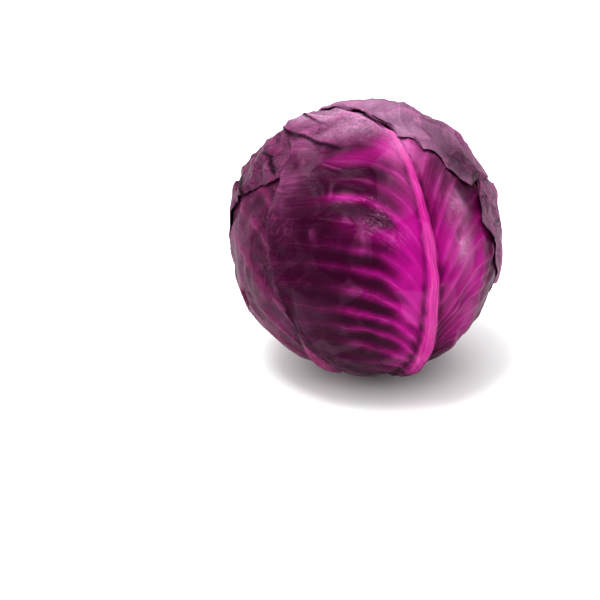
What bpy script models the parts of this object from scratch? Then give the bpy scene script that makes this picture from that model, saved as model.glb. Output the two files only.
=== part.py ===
"""A whole red cabbage head, standing on its cut stalk.

A packed heart is closed in by six wrapper leaves. The leaves are laid one over another, innermost first. Each is a
grid whose rows follow its side veins and whose columns run along its midrib. The grid is draped over whatever
already lies beneath it, then extruded outwards to the thickness of the blade, which swells along the veins.

Directions are angles about the head's centre: azimuth is turned from +X towards +Y, and polar is measured down from
the crown. A place on a leaf is given by its bearing about the leaf's middle and its reach, the angle out from there.
"""

import math
from dataclasses import dataclass

import bmesh
import bpy
import numpy as np
from mathutils.bvhtree import BVHTree

# The head, in metres
CENTRE_HEIGHT = 0.0775  # of the middle that every leaf wraps round, above the surface the head stands on
HEAD_PROFILE = ((0, 0.0732), (45, 0.0743), (90, 0.0735), (130, 0.0755), (180, 0.0760))  # polar angle, radius
HEART_FOOT_HEIGHT = 0.0085  # of the flat under the heart, where the stalk joins it
FOOT_SHARPNESS = 14  # how tightly the heart's side turns into that flat
LAYER_DEPTH = 0.0021  # how far each leaf that covers a spot presses the heart in there
LAYER_FADE = 9.0  # degrees over which that fades out inside a leaf's margin
HEART_SUBDIVISIONS = 4

# The cut stalk
STALK_RADIUS = 0.0155
STALK_WAIST = 0.0148
CUT_BEVEL = 0.0010
STALK_STEPS = 36
JOINT_GAP = 0.0004  # kept between the stalk and the heart that stands on it

# The leaves
BLADE_THICKNESS = 0.0011
MARGIN_THICKNESS = 0.0008
BASE_POLAR = 166.5  # where every leaf meets the stalk, degrees from the crown
BASE_HALF_WIDTH = 12.0  # of the leaf's foot, as degrees of bearing
TIP_HALF_WIDTH = 8.0
RIB_STATIONS = ((0.0, 0.0078, 0.0062), (0.12, 0.0062, 0.0055), (0.30, 0.0042, 0.0040), (0.50, 0.0030, 0.0028),
                (0.75, 0.0022, 0.0016), (1.0, 0.0016, 0.0003))  # share of the length, half-width, height
RIB_SHOULDER = 0.7  # its height half-way from crest to foot, as a share of the crest's
RIB_FOOT = 1.3  # where the midrib runs out into the blade, in half-widths
RIB_MOST = 0.5  # of a side vein's reach, at most, that the midrib takes up
VEIN_SWEEP = 1.65  # how fast the side veins' ends move round the margin towards the tip
VEIN_LATERAL = 0.18  # where a side vein turns outwards, as a share of its reach
VEIN_RISE = 0.92  # how much of its climb it has made there
VEIN_HEIGHT = 0.0014
VEIN_TO_RIB = 0.45  # no side vein starts taller than this share of the midrib there
SIDE_VEINS = 9
ROWS = 2 * SIDE_VEINS + 3
BLADE_COLUMNS = 7  # on each side, beyond the midrib's own
SCALLOPED_ROWS = range(3, ROWS - 5)
EDGE_BAND = 0.30  # share of the blade next to the margin that waves
STILL_FOOT = (0.12, 0.27)  # shares of the length between which the margin's waves begin

# How a leaf is laid
LAY_GAP = 0.0005  # left under it
FLOOR_GAP = 0.0004  # left between its ribs and what the head stands on
PROBE_START = 0.20
SPOTS = 4  # each face's edge is felt at this many steps
STIFFENING_PASSES = 2
LIFTING_PASSES = 40
LIFT_TOLERANCE = 0.00002

CENTRE = np.array([0.0, 0.0, CENTRE_HEIGHT])
DOWN = np.array([0.0, 0.0, -1.0])


@dataclass(frozen=True)
class Leaf:
    """One wrapper leaf: where its middle faces, how far it reaches, and how its margin waves.

    The outline lists bearing and reach in degrees. Bearing 0 points to the tip, positive is the right-hand side
    seen from outside with the tip up, and 180 is the foot. The rib is a share of the full midrib's height.
    """

    name: str
    azimuth: float
    polar: float
    left: tuple
    right: tuple
    rib: float = 1.0
    scallop: float = 0.8
    wave: float = 0.0020
    wave_count: float = 5.5
    wave_phase: float = 0.0
    colour: tuple = (0.20, 0.03, 0.15)

    @property
    def base_reach(self):
        return BASE_POLAR - self.polar

    @property
    def tip_reach(self):
        return self.left[0][1]

    @property
    def outline(self):
        """Bearing and reach all the way round, from foot to foot."""
        return sorted({(180.0, self.base_reach), (-180.0, self.base_reach), *self.left, *self.right})

    @property
    def frame(self):
        """The direction of the middle, and those towards the tip and to the right, square to each other."""
        azimuth, polar = math.radians(self.azimuth), math.radians(self.polar)
        cos_a, sin_a, cos_p, sin_p = math.cos(azimuth), math.sin(azimuth), math.cos(polar), math.sin(polar)
        middle = np.array([sin_p * cos_a, sin_p * sin_a, cos_p])
        up = np.array([-cos_p * cos_a, -cos_p * sin_a, sin_p])
        return middle, up, np.cross(up, middle)


# Innermost first, in the order in which they close round the heart
LEAVES = (
    Leaf("back_leaf", 107, 78,
         left=((0, 66), (-40, 72), (-75, 74), (-110, 70), (-140, 69), (-160, 78)),
         right=((0, 66), (40, 72), (75, 74), (110, 70), (140, 69), (160, 78)),
         rib=0.55, wave_phase=0.3, colour=(0.115, 0.030, 0.095)),
    Leaf("left_leaf", -117, 84,
         left=((0, 72), (-40, 76), (-75, 78), (-110, 76), (-140, 76), (-160, 82)),
         right=((0, 72), (40, 74), (75, 70), (110, 67), (140, 68), (160, 78)),
         rib=0.6, wave_phase=1.1, colour=(0.110, 0.022, 0.080)),
    Leaf("right_leaf", 20, 84,
         left=((0, 72), (-40, 74), (-75, 72), (-110, 74), (-140, 76), (-160, 82)),
         right=((0, 72), (40, 76), (75, 74), (110, 68), (140, 68), (160, 78)),
         rib=0.6, wave_phase=2.0, colour=(0.200, 0.040, 0.120)),
    Leaf("shoulder_leaf", 145, 60,
         left=((0, 66), (-40, 70), (-75, 68), (-110, 66), (-140, 70), (-160, 82)),
         right=((0, 66), (22, 65), (45, 62), (60, 59), (73, 50), (92, 42), (115, 42), (135, 49), (155, 70)),
         rib=0.8, wave_phase=0.8, colour=(0.150, 0.045, 0.110)),
    Leaf("front_leaf", -63, 80,
         left=((0, 101), (-20, 103), (-28, 97), (-36, 80), (-45, 75), (-70, 72), (-90, 67), (-125, 66), (-155, 72)),
         right=((0, 101), (30, 84), (60, 74), (90, 62), (110, 52), (130, 48), (150, 50), (164, 62)),
         wave=0.0010, wave_phase=2.6, colour=(0.330, 0.010, 0.210)),
    Leaf("crown_leaf", 58, 75,
         left=((0, 80), (-22, 84), (-36, 86), (-50, 84), (-60, 79), (-71, 83), (-84, 79), (-105, 78),
               (-130, 70), (-155, 72)),
         right=((0, 80), (22, 75), (45, 76), (75, 78), (105, 74), (130, 68), (155, 72)),
         rib=0.8, wave=0.0012, wave_phase=0.0, colour=(0.240, 0.110, 0.200)),
)


def clear_scene():
    for obj in list(bpy.data.objects):
        bpy.data.objects.remove(obj, do_unlink=True)


def new_collection(name):
    collection = bpy.data.collections.new(name)
    bpy.context.scene.collection.children.link(collection)
    return collection


def new_material(name, colour, roughness):
    material = bpy.data.materials.new(name)
    material.use_nodes = True
    shader = material.node_tree.nodes["Principled BSDF"]
    shader.inputs["Base Color"].default_value = (*colour, 1.0)
    shader.inputs["Roughness"].default_value = roughness
    shader.inputs["Metallic"].default_value = 0.0
    return material


def add_object(name, mesh, collection, material):
    mesh.materials.append(material)
    obj = bpy.data.objects.new(name, mesh)
    collection.objects.link(obj)
    mesh.shade_smooth()
    return obj


def mesh_from(shape, name):
    mesh = bpy.data.meshes.new(name)
    shape.to_mesh(mesh)
    shape.free()
    return mesh


def smooth_curve(points, at):
    """Values read off a smooth curve through (place, value) points, held level beyond both ends."""
    places, values = (np.array(row, float) for row in zip(*points))
    slopes = np.gradient(values, places)
    index = np.clip(np.searchsorted(places, at) - 1, 0, len(places) - 2)
    step = places[index + 1] - places[index]
    share = np.clip((at - places[index]) / step, 0.0, 1.0)
    square, cube = share**2, share**3
    return (
        (2 * cube - 3 * square + 1) * values[index]
        + (cube - 2 * square + share) * step * slopes[index]
        + (3 * square - 2 * cube) * values[index + 1]
        + (cube - square) * step * slopes[index + 1]
    )


def layers_over(directions):
    """How many leaves cover each direction, fading in from their margins."""
    total = np.zeros(directions.shape[:-1])
    for leaf in LEAVES:
        middle, up, right = leaf.frame
        reach = np.degrees(np.arccos(np.clip(directions @ middle, -1.0, 1.0)))
        bearing = np.degrees(np.arctan2(directions @ right, directions @ up))
        inside = (smooth_curve(leaf.outline, bearing) - reach) / LAYER_FADE
        total += np.clip(inside, 0.0, 1.0)
    return total


def heart_radius(directions):
    """Distance from the centre to the heart's skin: the head's outline less the leaves, eased into its foot."""
    polar = np.degrees(np.arccos(np.clip(directions[..., 2], -1.0, 1.0)))
    egg = smooth_curve(HEAD_PROFILE, polar) - LAYER_DEPTH * layers_over(directions)
    foot = (CENTRE_HEIGHT - HEART_FOOT_HEIGHT) / np.maximum(-directions[..., 2], 1e-3)
    return (egg**-FOOT_SHARPNESS + foot**-FOOT_SHARPNESS) ** (-1 / FOOT_SHARPNESS)


def build_heart(collection):
    """The packed inner leaves as one dense ball, which shows the outlines of the leaves pressed round it."""
    shape = bmesh.new()
    bmesh.ops.create_icosphere(shape, subdivisions=HEART_SUBDIVISIONS, radius=1.0)
    directions = np.array([vertex.co.normalized() for vertex in shape.verts])
    for vertex, place in zip(shape.verts, CENTRE + directions * heart_radius(directions)[:, None]):
        vertex.co = place
    return add_object("heart", mesh_from(shape, "heart"), collection,
                      new_material("heart", (0.100, 0.025, 0.080), 0.45))


def build_stalk(collection):
    """The cut stalk, turned round the vertical: a flat cut face, a slight waist and a flat top under the heart."""
    top = CENTRE_HEIGHT - float(heart_radius(DOWN)) - JOINT_GAP
    profile = ((0.0, top), (STALK_RADIUS, top), (STALK_WAIST, top / 2), (STALK_RADIUS - CUT_BEVEL / 2, CUT_BEVEL),
               (STALK_RADIUS - CUT_BEVEL, 0.0), (0.0, 0.0))
    mesh = bpy.data.meshes.new("stalk")
    edges = [(i, i + 1) for i in range(len(profile) - 1)]
    mesh.from_pydata([(r, 0.0, z) for r, z in profile], edges, [])
    stalk = add_object("stalk", mesh, collection, new_material("stalk", (0.700, 0.620, 0.480), 0.7))
    turn = stalk.modifiers.new("turn", "SCREW")
    turn.steps = turn.render_steps = STALK_STEPS
    turn.use_merge_vertices = True
    turn.merge_threshold = 0.0001


def face_lattice():
    """Shares of a face's three corners at an even lattice of spots on it."""
    return [(i / SPOTS, j / SPOTS, (SPOTS - i - j) / SPOTS) for i in range(SPOTS + 1) for j in range(SPOTS + 1 - i)]


class Ground:
    """Everything laid so far: a surface that the next leaf rests on, and spots on it that the leaf must clear."""

    def __init__(self):
        self.points, self.faces = [], []
        self.spots = np.empty((0, 3))

    def add(self, obj):
        mesh = obj.evaluated_get(bpy.context.evaluated_depsgraph_get()).to_mesh()
        mesh.calc_loop_triangles()
        corners = np.array([v.co for v in mesh.vertices]) - CENTRE
        triangles = np.array([t.vertices for t in mesh.loop_triangles])
        first, second, third = (corners[triangles[:, i]] for i in range(3))
        faces_out = np.einsum("ij,ij->i", np.cross(second - first, third - first), first + second + third) > 0
        outer = first[faces_out], second[faces_out], third[faces_out]
        self.spots = np.vstack([self.spots, *(sum(s * c for s, c in zip(spot, outer)) for spot in face_lattice())])
        self.faces.extend((triangles + len(self.points)).tolist())
        self.points.extend(corners.tolist())

    def rest(self, directions):
        """Distance from the centre to the outermost surface along each direction."""
        tree = BVHTree.FromPolygons(self.points, self.faces)
        found = [PROBE_START - tree.ray_cast(d * PROBE_START, -d)[3] for d in directions.reshape(-1, 3)]
        return np.array(found).reshape(directions.shape[:-1])


class Drape:
    """A triangulated sheet seen from the centre, with the spots of ground that it must clear.

    Along a direction that is the sum of shares of a face's three corner directions, the flat face lies at one over
    the sum of each share divided by that corner's distance. So the shares are found once, and the sheet can then be
    lifted by changing its corners' distances alone.
    """

    def __init__(self, directions, triangles, ground):
        corners = directions.reshape(-1, 3)
        tree = BVHTree.FromPolygons(corners.tolist(), triangles.tolist())
        reach = np.linalg.norm(ground.spots, axis=1)
        met = [tree.ray_cast((0.0, 0.0, 0.0), spot)[2] for spot in ground.spots / reach[:, None]]
        under = np.array([index is not None for index in met])
        covering = triangles[[index for index in met if index is not None]]
        towards = (ground.spots[under] / reach[under, None])[..., None]
        beneath = np.linalg.solve(corners[covering].transpose(0, 2, 1), towards)[..., 0]

        lattice = np.array(face_lattice())
        own = np.einsum("sk,tkc->tsc", lattice, corners[triangles]).reshape(-1, 3)
        lengths = np.linalg.norm(own, axis=1)[:, None]
        self.distances = np.concatenate([reach[under], ground.rest(own / lengths)])
        self.corners = np.vstack([covering, np.repeat(triangles, len(lattice), axis=0)])
        self.shares = np.vstack([np.maximum(beneath, 0.0), np.tile(lattice, (len(triangles), 1)) / lengths])

    def lift(self, radius):
        """The corners' distances raised where the sheet comes too near a spot, and the worst shortfall met."""
        flat = radius.ravel()
        height = 1.0 / (self.shares / flat[self.corners]).sum(axis=1)
        short = self.distances + LAY_GAP - height
        low = short > 0
        if not low.any():
            return radius, 0.0
        shares = self.shares[low]
        raise_by = short[low, None] * shares / (shares**2).sum(axis=1)[:, None]
        added = np.zeros_like(flat)
        np.maximum.at(added, self.corners[low], raise_by)
        return (flat + added).reshape(radius.shape), float(short.max())


def chart_directions(leaf, x, y):
    """Unit directions of points x across and y towards the tip, in degrees of arc from the leaf's middle."""
    middle, up, right = leaf.frame
    reach = np.hypot(x, y)
    unit = np.maximum(reach, 1e-9)
    angle = np.radians(reach)[..., None]
    sideways = (x / unit)[..., None] * right + (y / unit)[..., None] * up
    return np.cos(angle) * middle + np.sin(angle) * sideways


def rib_sizes(leaf, share):
    """Half-width and height of the midrib at a share of the leaf's length."""
    places, widths, heights = zip(*RIB_STATIONS)
    return float(np.interp(share, places, widths)), leaf.rib * float(np.interp(share, places, heights))


def column_shares(reach, half_width):
    """Shares of a side vein's reach at the midrib's crest, shoulder and foot, then evenly out to the margin."""
    foot = min(RIB_FOOT * math.degrees(half_width / CENTRE_HEIGHT) / (2 * VEIN_LATERAL * reach), RIB_MOST)
    return np.concatenate([[0.0, foot / 2], np.linspace(foot, 1.0, BLADE_COLUMNS + 1)])


def half_row(leaf, row, side):
    """One side of a row: places across and up the leaf, thickness, and share of the way out to the margin."""
    share = row / (ROWS - 1)
    start = leaf.tip_reach * share - leaf.base_reach * (1 - share)
    bearing = TIP_HALF_WIDTH + (180.0 - BASE_HALF_WIDTH - TIP_HALF_WIDTH) * (1 - share) ** VEIN_SWEEP
    reach = float(smooth_curve(leaf.outline, np.array(side * bearing)))
    if row in SCALLOPED_ROWS:
        reach += leaf.scallop if row % 2 else -leaf.scallop
    end_x, end_y = reach * math.sin(math.radians(bearing)), reach * math.cos(math.radians(bearing))
    half_width, height = rib_sizes(leaf, share)
    out = column_shares(math.hypot(end_x, end_y - start), half_width)

    # The row is a curve with one handle, so it hugs the midrib before it turns out to the margin
    handle_x, handle_y = VEIN_LATERAL * end_x, start + VEIN_RISE * (end_y - start)
    x = 2 * out * (1 - out) * handle_x + out**2 * end_x
    y = (1 - out) ** 2 * start + 2 * out * (1 - out) * handle_y + out**2 * end_y

    thickness = BLADE_THICKNESS + (MARGIN_THICKNESS - BLADE_THICKNESS) * out**3
    thickness[:2] += height * np.array([1.0, RIB_SHOULDER])
    if row % 2 and row < ROWS - 2:
        thickness[2:] += min(VEIN_HEIGHT, VEIN_TO_RIB * height) * (1 - out[2:])
    return side * x, y, thickness, out


def leaf_grid(leaf):
    """Places, thickness and share of the way out over the leaf's whole grid, from foot to tip and left to right."""
    rows = []
    for row in range(ROWS):
        left, right = half_row(leaf, row, -1), half_row(leaf, row, 1)
        rows.append([np.concatenate([mirror[:0:-1], own]) for mirror, own in zip(left, right)])
    return (np.array(values) for values in zip(*rows))


def margin_wave(leaf, share_out, share_along):
    """How far the margin's waves stand off what lies beneath."""
    edge = np.clip((share_out - 1.0 + EDGE_BAND) / EDGE_BAND, 0.0, 1.0) ** 1.5
    start, full = STILL_FOOT
    away_from_foot = np.clip((share_along - start) / (full - start), 0.0, 1.0)
    turns = 2 * math.pi * leaf.wave_count * share_along + leaf.wave_phase
    wave = 0.5 + 0.5 * np.sin(turns) * np.cos(0.6 * turns + leaf.wave_phase)
    return leaf.wave * edge * away_from_foot * wave


def smoothed(radius):
    """The grid of distances averaged with its neighbours along both ways, its corners kept."""
    along = radius.copy()
    along[1:-1] = (radius[:-2] + 2 * radius[1:-1] + radius[2:]) / 4
    across = along.copy()
    across[:, 1:-1] = (along[:, :-2] + 2 * along[:, 1:-1] + along[:, 2:]) / 4
    return across


def lay_sheet(directions, triangles, wave, ground):
    """Distances from the centre of a sheet that lies on the ground, bridging its narrow hollows."""
    drape = Drape(directions, triangles, ground)
    radius = ground.rest(directions) + LAY_GAP + wave
    for _ in range(STIFFENING_PASSES):
        radius, _ = drape.lift(np.maximum(radius, smoothed(radius)))
    for _ in range(LIFTING_PASSES):
        radius, short = drape.lift(radius)
        if short < LIFT_TOLERANCE:
            break
    return radius


def build_leaf(leaf, ground, collection):
    """Lays the leaf's sheet on the ground, then extrudes it outwards. Both faces share one set of triangles."""
    x, y, thickness, share_out = leaf_grid(leaf)
    rows, columns = x.shape
    directions = chart_directions(leaf, x, y)
    share_along = np.linspace(0.0, 1.0, rows)[:, None] * np.ones(columns)

    sheet = bmesh.new()
    bmesh.ops.create_grid(sheet, x_segments=columns - 1, y_segments=rows - 1, size=0.5)
    place = sheet.verts.layers.int.new("place")
    flat = directions.reshape(-1, 3)
    for index, vertex in enumerate(sheet.verts):
        vertex[place] = index
        vertex.co = flat[index]
    bmesh.ops.triangulate(sheet, faces=sheet.faces[:], quad_method="SHORT_EDGE")
    triangles = np.array([[v[place] for v in face.verts] for face in sheet.faces])

    inner = lay_sheet(directions, triangles, margin_wave(leaf, share_out, share_along), ground)
    floor = (CENTRE_HEIGHT - FLOOR_GAP) / np.maximum(-directions[..., 2], 1e-3)
    outer = np.minimum(inner + thickness, np.maximum(floor, inner + MARGIN_THICKNESS))

    grown = bmesh.ops.extrude_face_region(sheet, geom=sheet.faces[:], use_keep_orig=True)["geom"]
    skin = {item for item in grown if isinstance(item, bmesh.types.BMVert)}
    for vertex in sheet.verts:
        index = vertex[place]
        vertex.co = CENTRE + flat[index] * (outer if vertex in skin else inner).flat[index]
    bmesh.ops.recalc_face_normals(sheet, faces=sheet.faces[:])
    return add_object(leaf.name, mesh_from(sheet, leaf.name), collection, new_material(leaf.name, leaf.colour, 0.4))


def main():
    clear_scene()
    head = new_collection("red_cabbage_head")
    build_stalk(head)
    ground = Ground()
    ground.add(build_heart(head))
    for leaf in LEAVES:
        ground.add(build_leaf(leaf, ground, head))


main()
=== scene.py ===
"""A whole red cabbage head on its cut stalk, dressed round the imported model.

Six wrapper leaves are laid one over another round a packed heart, innermost first, as they grow. Every leaf is a fine
grid whose rows follow its side veins and whose columns run along its midrib. Directions are angles about the head's
centre: azimuth is turned from +X towards +Y, and polar is measured down from the crown. A place on a leaf is given in
degrees of arc from the leaf's middle: x to the right seen from outside with the tip up, and y towards the tip.
"""

import logging
import math
from dataclasses import dataclass, field
from enum import Enum
from typing import Any

import bpy
import numpy as np
from mathutils import Matrix

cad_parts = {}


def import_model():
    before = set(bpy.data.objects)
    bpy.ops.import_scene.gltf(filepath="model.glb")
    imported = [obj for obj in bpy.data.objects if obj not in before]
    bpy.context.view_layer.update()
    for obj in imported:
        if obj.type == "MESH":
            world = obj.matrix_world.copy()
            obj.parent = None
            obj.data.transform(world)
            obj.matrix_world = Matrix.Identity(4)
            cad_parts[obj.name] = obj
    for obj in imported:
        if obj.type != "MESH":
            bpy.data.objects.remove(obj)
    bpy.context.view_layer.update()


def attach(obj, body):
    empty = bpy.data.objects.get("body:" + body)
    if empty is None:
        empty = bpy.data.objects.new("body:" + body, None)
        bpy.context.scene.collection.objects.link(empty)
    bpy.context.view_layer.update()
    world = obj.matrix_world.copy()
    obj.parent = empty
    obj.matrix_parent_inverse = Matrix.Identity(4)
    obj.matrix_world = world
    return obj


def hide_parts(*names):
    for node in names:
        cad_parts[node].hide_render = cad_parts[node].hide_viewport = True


logging.basicConfig(level=logging.INFO, format="%(message)s")
LOG = logging.getLogger("red_cabbage_head")

Grid = np.ndarray
Pairs = tuple[tuple[float, float], ...]
Colour = tuple[float, float, float, float]

CENTRE_HEIGHT = 0.0775  # of the middle that every leaf wraps round, in metres above the floor
CENTRE = np.array([0.0, 0.0, CENTRE_HEIGHT])
METRES_PER_DEGREE = math.radians(1.0) * CENTRE_HEIGHT
HEAD_PROFILE: Pairs = ((0, 0.0702), (30, 0.0712), (50, 0.0730), (90, 0.0735), (110, 0.0738), (130, 0.0745),
                       (158, 0.0730), (180, 0.0750))  # polar angle, radius


class Piece(Enum):
    """The head's pieces, named as the nodes they stand for."""

    STALK = "stalk"
    HEART = "heart"
    BACK = "back_leaf"
    LEFT = "left_leaf"
    RIGHT = "right_leaf"
    SHOULDER = "shoulder_leaf"
    FRONT = "front_leaf"
    CROWN = "crown_leaf"


def srgb(red: float, green: float, blue: float) -> Colour:
    """A colour from its 0 to 255 screen values, as the linear values that shaders take."""
    screen = np.array([red, green, blue]) / 255.0
    linear = np.where(screen <= 0.04045, screen / 12.92, ((screen + 0.055) / 1.055) ** 2.4)
    return (float(linear[0]), float(linear[1]), float(linear[2]), 1.0)


def smooth_curve(points: Pairs, at: Grid) -> Grid:
    """Reads values off a smooth curve, held level beyond both ends.

    Between neighbouring points runs the cubic that has their mean slopes at its ends.

    Args:
        points: Places and values, in order of place.
        at: Places to read.

    Returns:
        The values, in the shape of the places.
    """
    places, values = (np.array(row, float) for row in zip(*points))
    slopes = np.gradient(values, places)
    index = np.clip(np.searchsorted(places, at) - 1, 0, len(places) - 2)
    step = places[index + 1] - places[index]
    share = np.clip((at - places[index]) / step, 0.0, 1.0)
    square, cube = share**2, share**3
    return (
        (2 * cube - 3 * square + 1) * values[index]
        + (cube - 2 * square + share) * step * slopes[index]
        + (3 * square - 2 * cube) * values[index + 1]
        + (cube - square) * step * slopes[index + 1]
    )


def eased(low: float, high: float, value: Grid) -> Grid:
    """Nought below low, one above high, and three squares less two cubes of the share between."""
    share = np.clip((value - low) / (high - low), 0.0, 1.0)
    return share**2 * (3.0 - 2.0 * share)


def ripples(places: Grid, wavelength: float, seed: int, waves: int = 14) -> Grid:
    """Smooth seeded unevenness: the sum of sine waves that cross space in many directions, about one in height.

    Args:
        places: Points in metres, three values each.
        wavelength: Middle wavelength in metres.
        seed: Picks the waves.
        waves: How many are summed.

    Returns:
        One value a point.
    """
    rng = np.random.default_rng(seed)
    ways = rng.normal(size=(waves, 3))
    ways /= np.linalg.norm(ways, axis=1)[:, None]
    numbers = 2.0 * np.pi / (wavelength * rng.uniform(0.65, 1.6, waves))
    phases = rng.uniform(0.0, 2.0 * np.pi, waves)
    return np.sin(places @ (ways * numbers[:, None]).T + phases).sum(axis=-1) / math.sqrt(waves / 2)


def facets(places: Grid, wavelength: float, seed: int) -> tuple[Grid, Grid, Grid]:
    """Panes between raised seams, each leaning its own way, with painted light and shade that differ pane by pane.

    Many middles are scattered over a ball, and a place belongs to each in a share that falls as e to minus the
    squared distance, so the seams are rounded. The nearest distance is minus the logarithm of the summed falls.

    Args:
        places: Points in metres, three values each.
        wavelength: Distance between neighbouring panes' middles, in metres.
        seed: Scatters the middles.

    Returns:
        At each place the squared distance to the nearest middle, 0 to about 1, the height of the leaning pane, about
            one up or down at its seams, and the pane's painted light and shade, 0 to 1.
    """
    rng = np.random.default_rng(seed)
    ball = 4.0 * np.pi * 0.075**2
    count = int(ball / wavelength**2)
    middles = rng.normal(size=(count, 3))
    middles *= 0.075 / np.linalg.norm(middles, axis=1)[:, None]
    flat = places.reshape(-1, 3)
    squares = (flat**2).sum(1)[:, None] + (middles**2).sum(1) - 2.0 * flat @ middles.T
    sharpness = 30.0 / wavelength**2
    falls = np.exp(-sharpness * np.maximum(squares, 0.0)) + 1e-30
    total = falls.sum(1)
    leans, pane_shading = rng.normal(size=(count, 3)), rng.uniform(size=count)
    heights = (falls * (flat @ leans.T - (middles * leans).sum(1))).sum(1) / total / (0.5 * wavelength)
    near = -np.log(total) / sharpness / (0.5 * wavelength) ** 2
    shape = places.shape[:-1]
    return np.clip(near, 0.0, 2.0).reshape(shape), heights.reshape(shape), (falls @ pane_shading / total).reshape(shape)


def blurred(values: Grid, passes: int) -> Grid:
    """The grid averaged with its neighbours, one part to two to one, along both ways, its rim kept."""
    for _ in range(passes):
        along = values.copy()
        along[1:-1] = (values[:-2] + 2 * values[1:-1] + values[2:]) / 4
        values = along.copy()
        values[:, 1:-1] = (along[:, :-2] + 2 * along[:, 1:-1] + along[:, 2:]) / 4
    return values


def vein_places(start: float, step: float, even: int, growth: float, count: int) -> tuple[float, ...]:
    """Where side veins leave a midrib: evenly spaced low down, then each step a fixed number of times the last.

    Args:
        start: The lowest vein, as a share of the leaf's length.
        step: The even spacing.
        even: How many even steps there are.
        growth: How many times longer each later step is than the one before.
        count: Number of veins.

    Returns:
        The veins' shares of the length, lowest first.
    """
    later = np.maximum(np.arange(count - 1) - even + 1, 0)
    return tuple(start + np.concatenate([[0.0], np.cumsum(step * growth**later)]))


def unit(vectors: Grid) -> Grid:
    """The vectors at length one."""
    return vectors / np.maximum(np.linalg.norm(vectors, axis=-1, keepdims=True), 1e-12)


@dataclass(frozen=True)
class Chart:
    """Where a leaf's middle faces: a map of the head in degrees of arc from there."""

    azimuth: float
    polar: float

    def axes(self) -> tuple[Grid, Grid, Grid]:
        """The direction of the middle, and those towards the tip and to the right, square to each other."""
        turn, fall = math.radians(self.azimuth), math.radians(self.polar)
        cos_a, sin_a, cos_p, sin_p = math.cos(turn), math.sin(turn), math.cos(fall), math.sin(fall)
        middle = np.array([sin_p * cos_a, sin_p * sin_a, cos_p])
        tipwards = np.array([-cos_p * cos_a, -cos_p * sin_a, sin_p])
        return middle, tipwards, np.cross(tipwards, middle)

    def directions(self, x: Grid, y: Grid) -> Grid:
        """Directions of places: the middle turned towards each place by its distance on the map."""
        middle, tipwards, rightwards = self.axes()
        reach = np.hypot(x, y)
        safe = np.maximum(reach, 1e-9)
        angle = np.radians(reach)[..., None]
        return np.cos(angle) * middle + np.sin(angle) * ((x / safe)[..., None] * rightwards
                                                         + (y / safe)[..., None] * tipwards)

    def reach_and_bearing(self, directions: Grid) -> tuple[Grid, Grid]:
        """How far each direction is from the middle, and its bearing from the tip, both in degrees."""
        middle, tipwards, rightwards = self.axes()
        reach = np.degrees(np.arccos(np.clip(directions @ middle, -1.0, 1.0)))
        return reach, np.degrees(np.arctan2(directions @ rightwards, directions @ tipwards))


@dataclass(frozen=True)
class Patch:
    """A soft oval on a leaf, in degrees of its chart."""

    x: float
    y: float
    wide: float
    tall: float
    amount: float = 1.0
    turn: float = 0.0

    def over(self, x: Grid, y: Grid) -> Grid:
        """Its amount, falling off as e to minus the squared distance in half-widths."""
        cos_t, sin_t = math.cos(math.radians(self.turn)), math.sin(math.radians(self.turn))
        across = ((x - self.x) * cos_t + (y - self.y) * sin_t) / self.wide
        along = ((y - self.y) * cos_t - (x - self.x) * sin_t) / self.tall
        return self.amount * np.exp(-(across**2) - along**2)


Patches = tuple[Patch, ...]


def painted(patches: Patches, x: Grid, y: Grid) -> Grid:
    """The patches' sum at each place."""
    return sum((patch.over(x, y) for patch in patches), np.zeros_like(x))


@dataclass(frozen=True)
class Fold:
    """A crease that runs in from a margin: it swells softly on its left-hand side and drops steeply on its right."""

    line: Pairs
    rise: float
    slope: float
    drop: float = 1.1

    def distances(self, x: Grid, y: Grid) -> tuple[Grid, Grid]:
        """The signed distance to the line, positive to its left, and the share of the way along it."""
        best = np.full(x.shape, 1e9)
        signed, share = np.zeros_like(x), np.zeros_like(x)
        pieces = len(self.line) - 1
        for number, (start, end) in enumerate(zip(self.line[:-1], self.line[1:])):
            along_x, along_y = end[0] - start[0], end[1] - start[1]
            length = math.hypot(along_x, along_y)
            away_x, away_y = x - start[0], y - start[1]
            here = np.clip((away_x * along_x + away_y * along_y) / length**2, 0.0, 1.0)
            distance = np.hypot(away_x - here * along_x, away_y - here * along_y)
            side = np.sign(along_x * away_y - along_y * away_x)
            closer = distance < best
            best = np.where(closer, distance, best)
            signed = np.where(closer, side * distance, signed)
            share = np.where(closer, (number + here) / pieces, share)
        return signed, share

    def relief(self, x: Grid, y: Grid) -> Grid:
        """Its height: the rise times e to minus the squared distance, in slopes to the left and drops to the right.

        It is lowest where it starts, at the margin, and where it runs out.
        """
        signed, share = self.distances(x, y)
        width = np.where(signed > 0, self.slope, self.drop)
        standing = np.clip(0.25 + share / 0.3, 0.0, 1.0) * (1.0 - share) ** 0.5
        return self.rise * standing * np.exp(-((signed / width) ** 2))

    def shadow(self, x: Grid, y: Grid) -> Grid:
        """How dark the steep side is, 0 to 1: a line about two degrees wide, just to the right."""
        signed, share = self.distances(x, y)
        return np.clip(1.7 * (1.0 - share) ** 0.5 * np.exp(-(((signed + 0.8) / 1.0) ** 2)), 0.0, 1.0)


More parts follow.
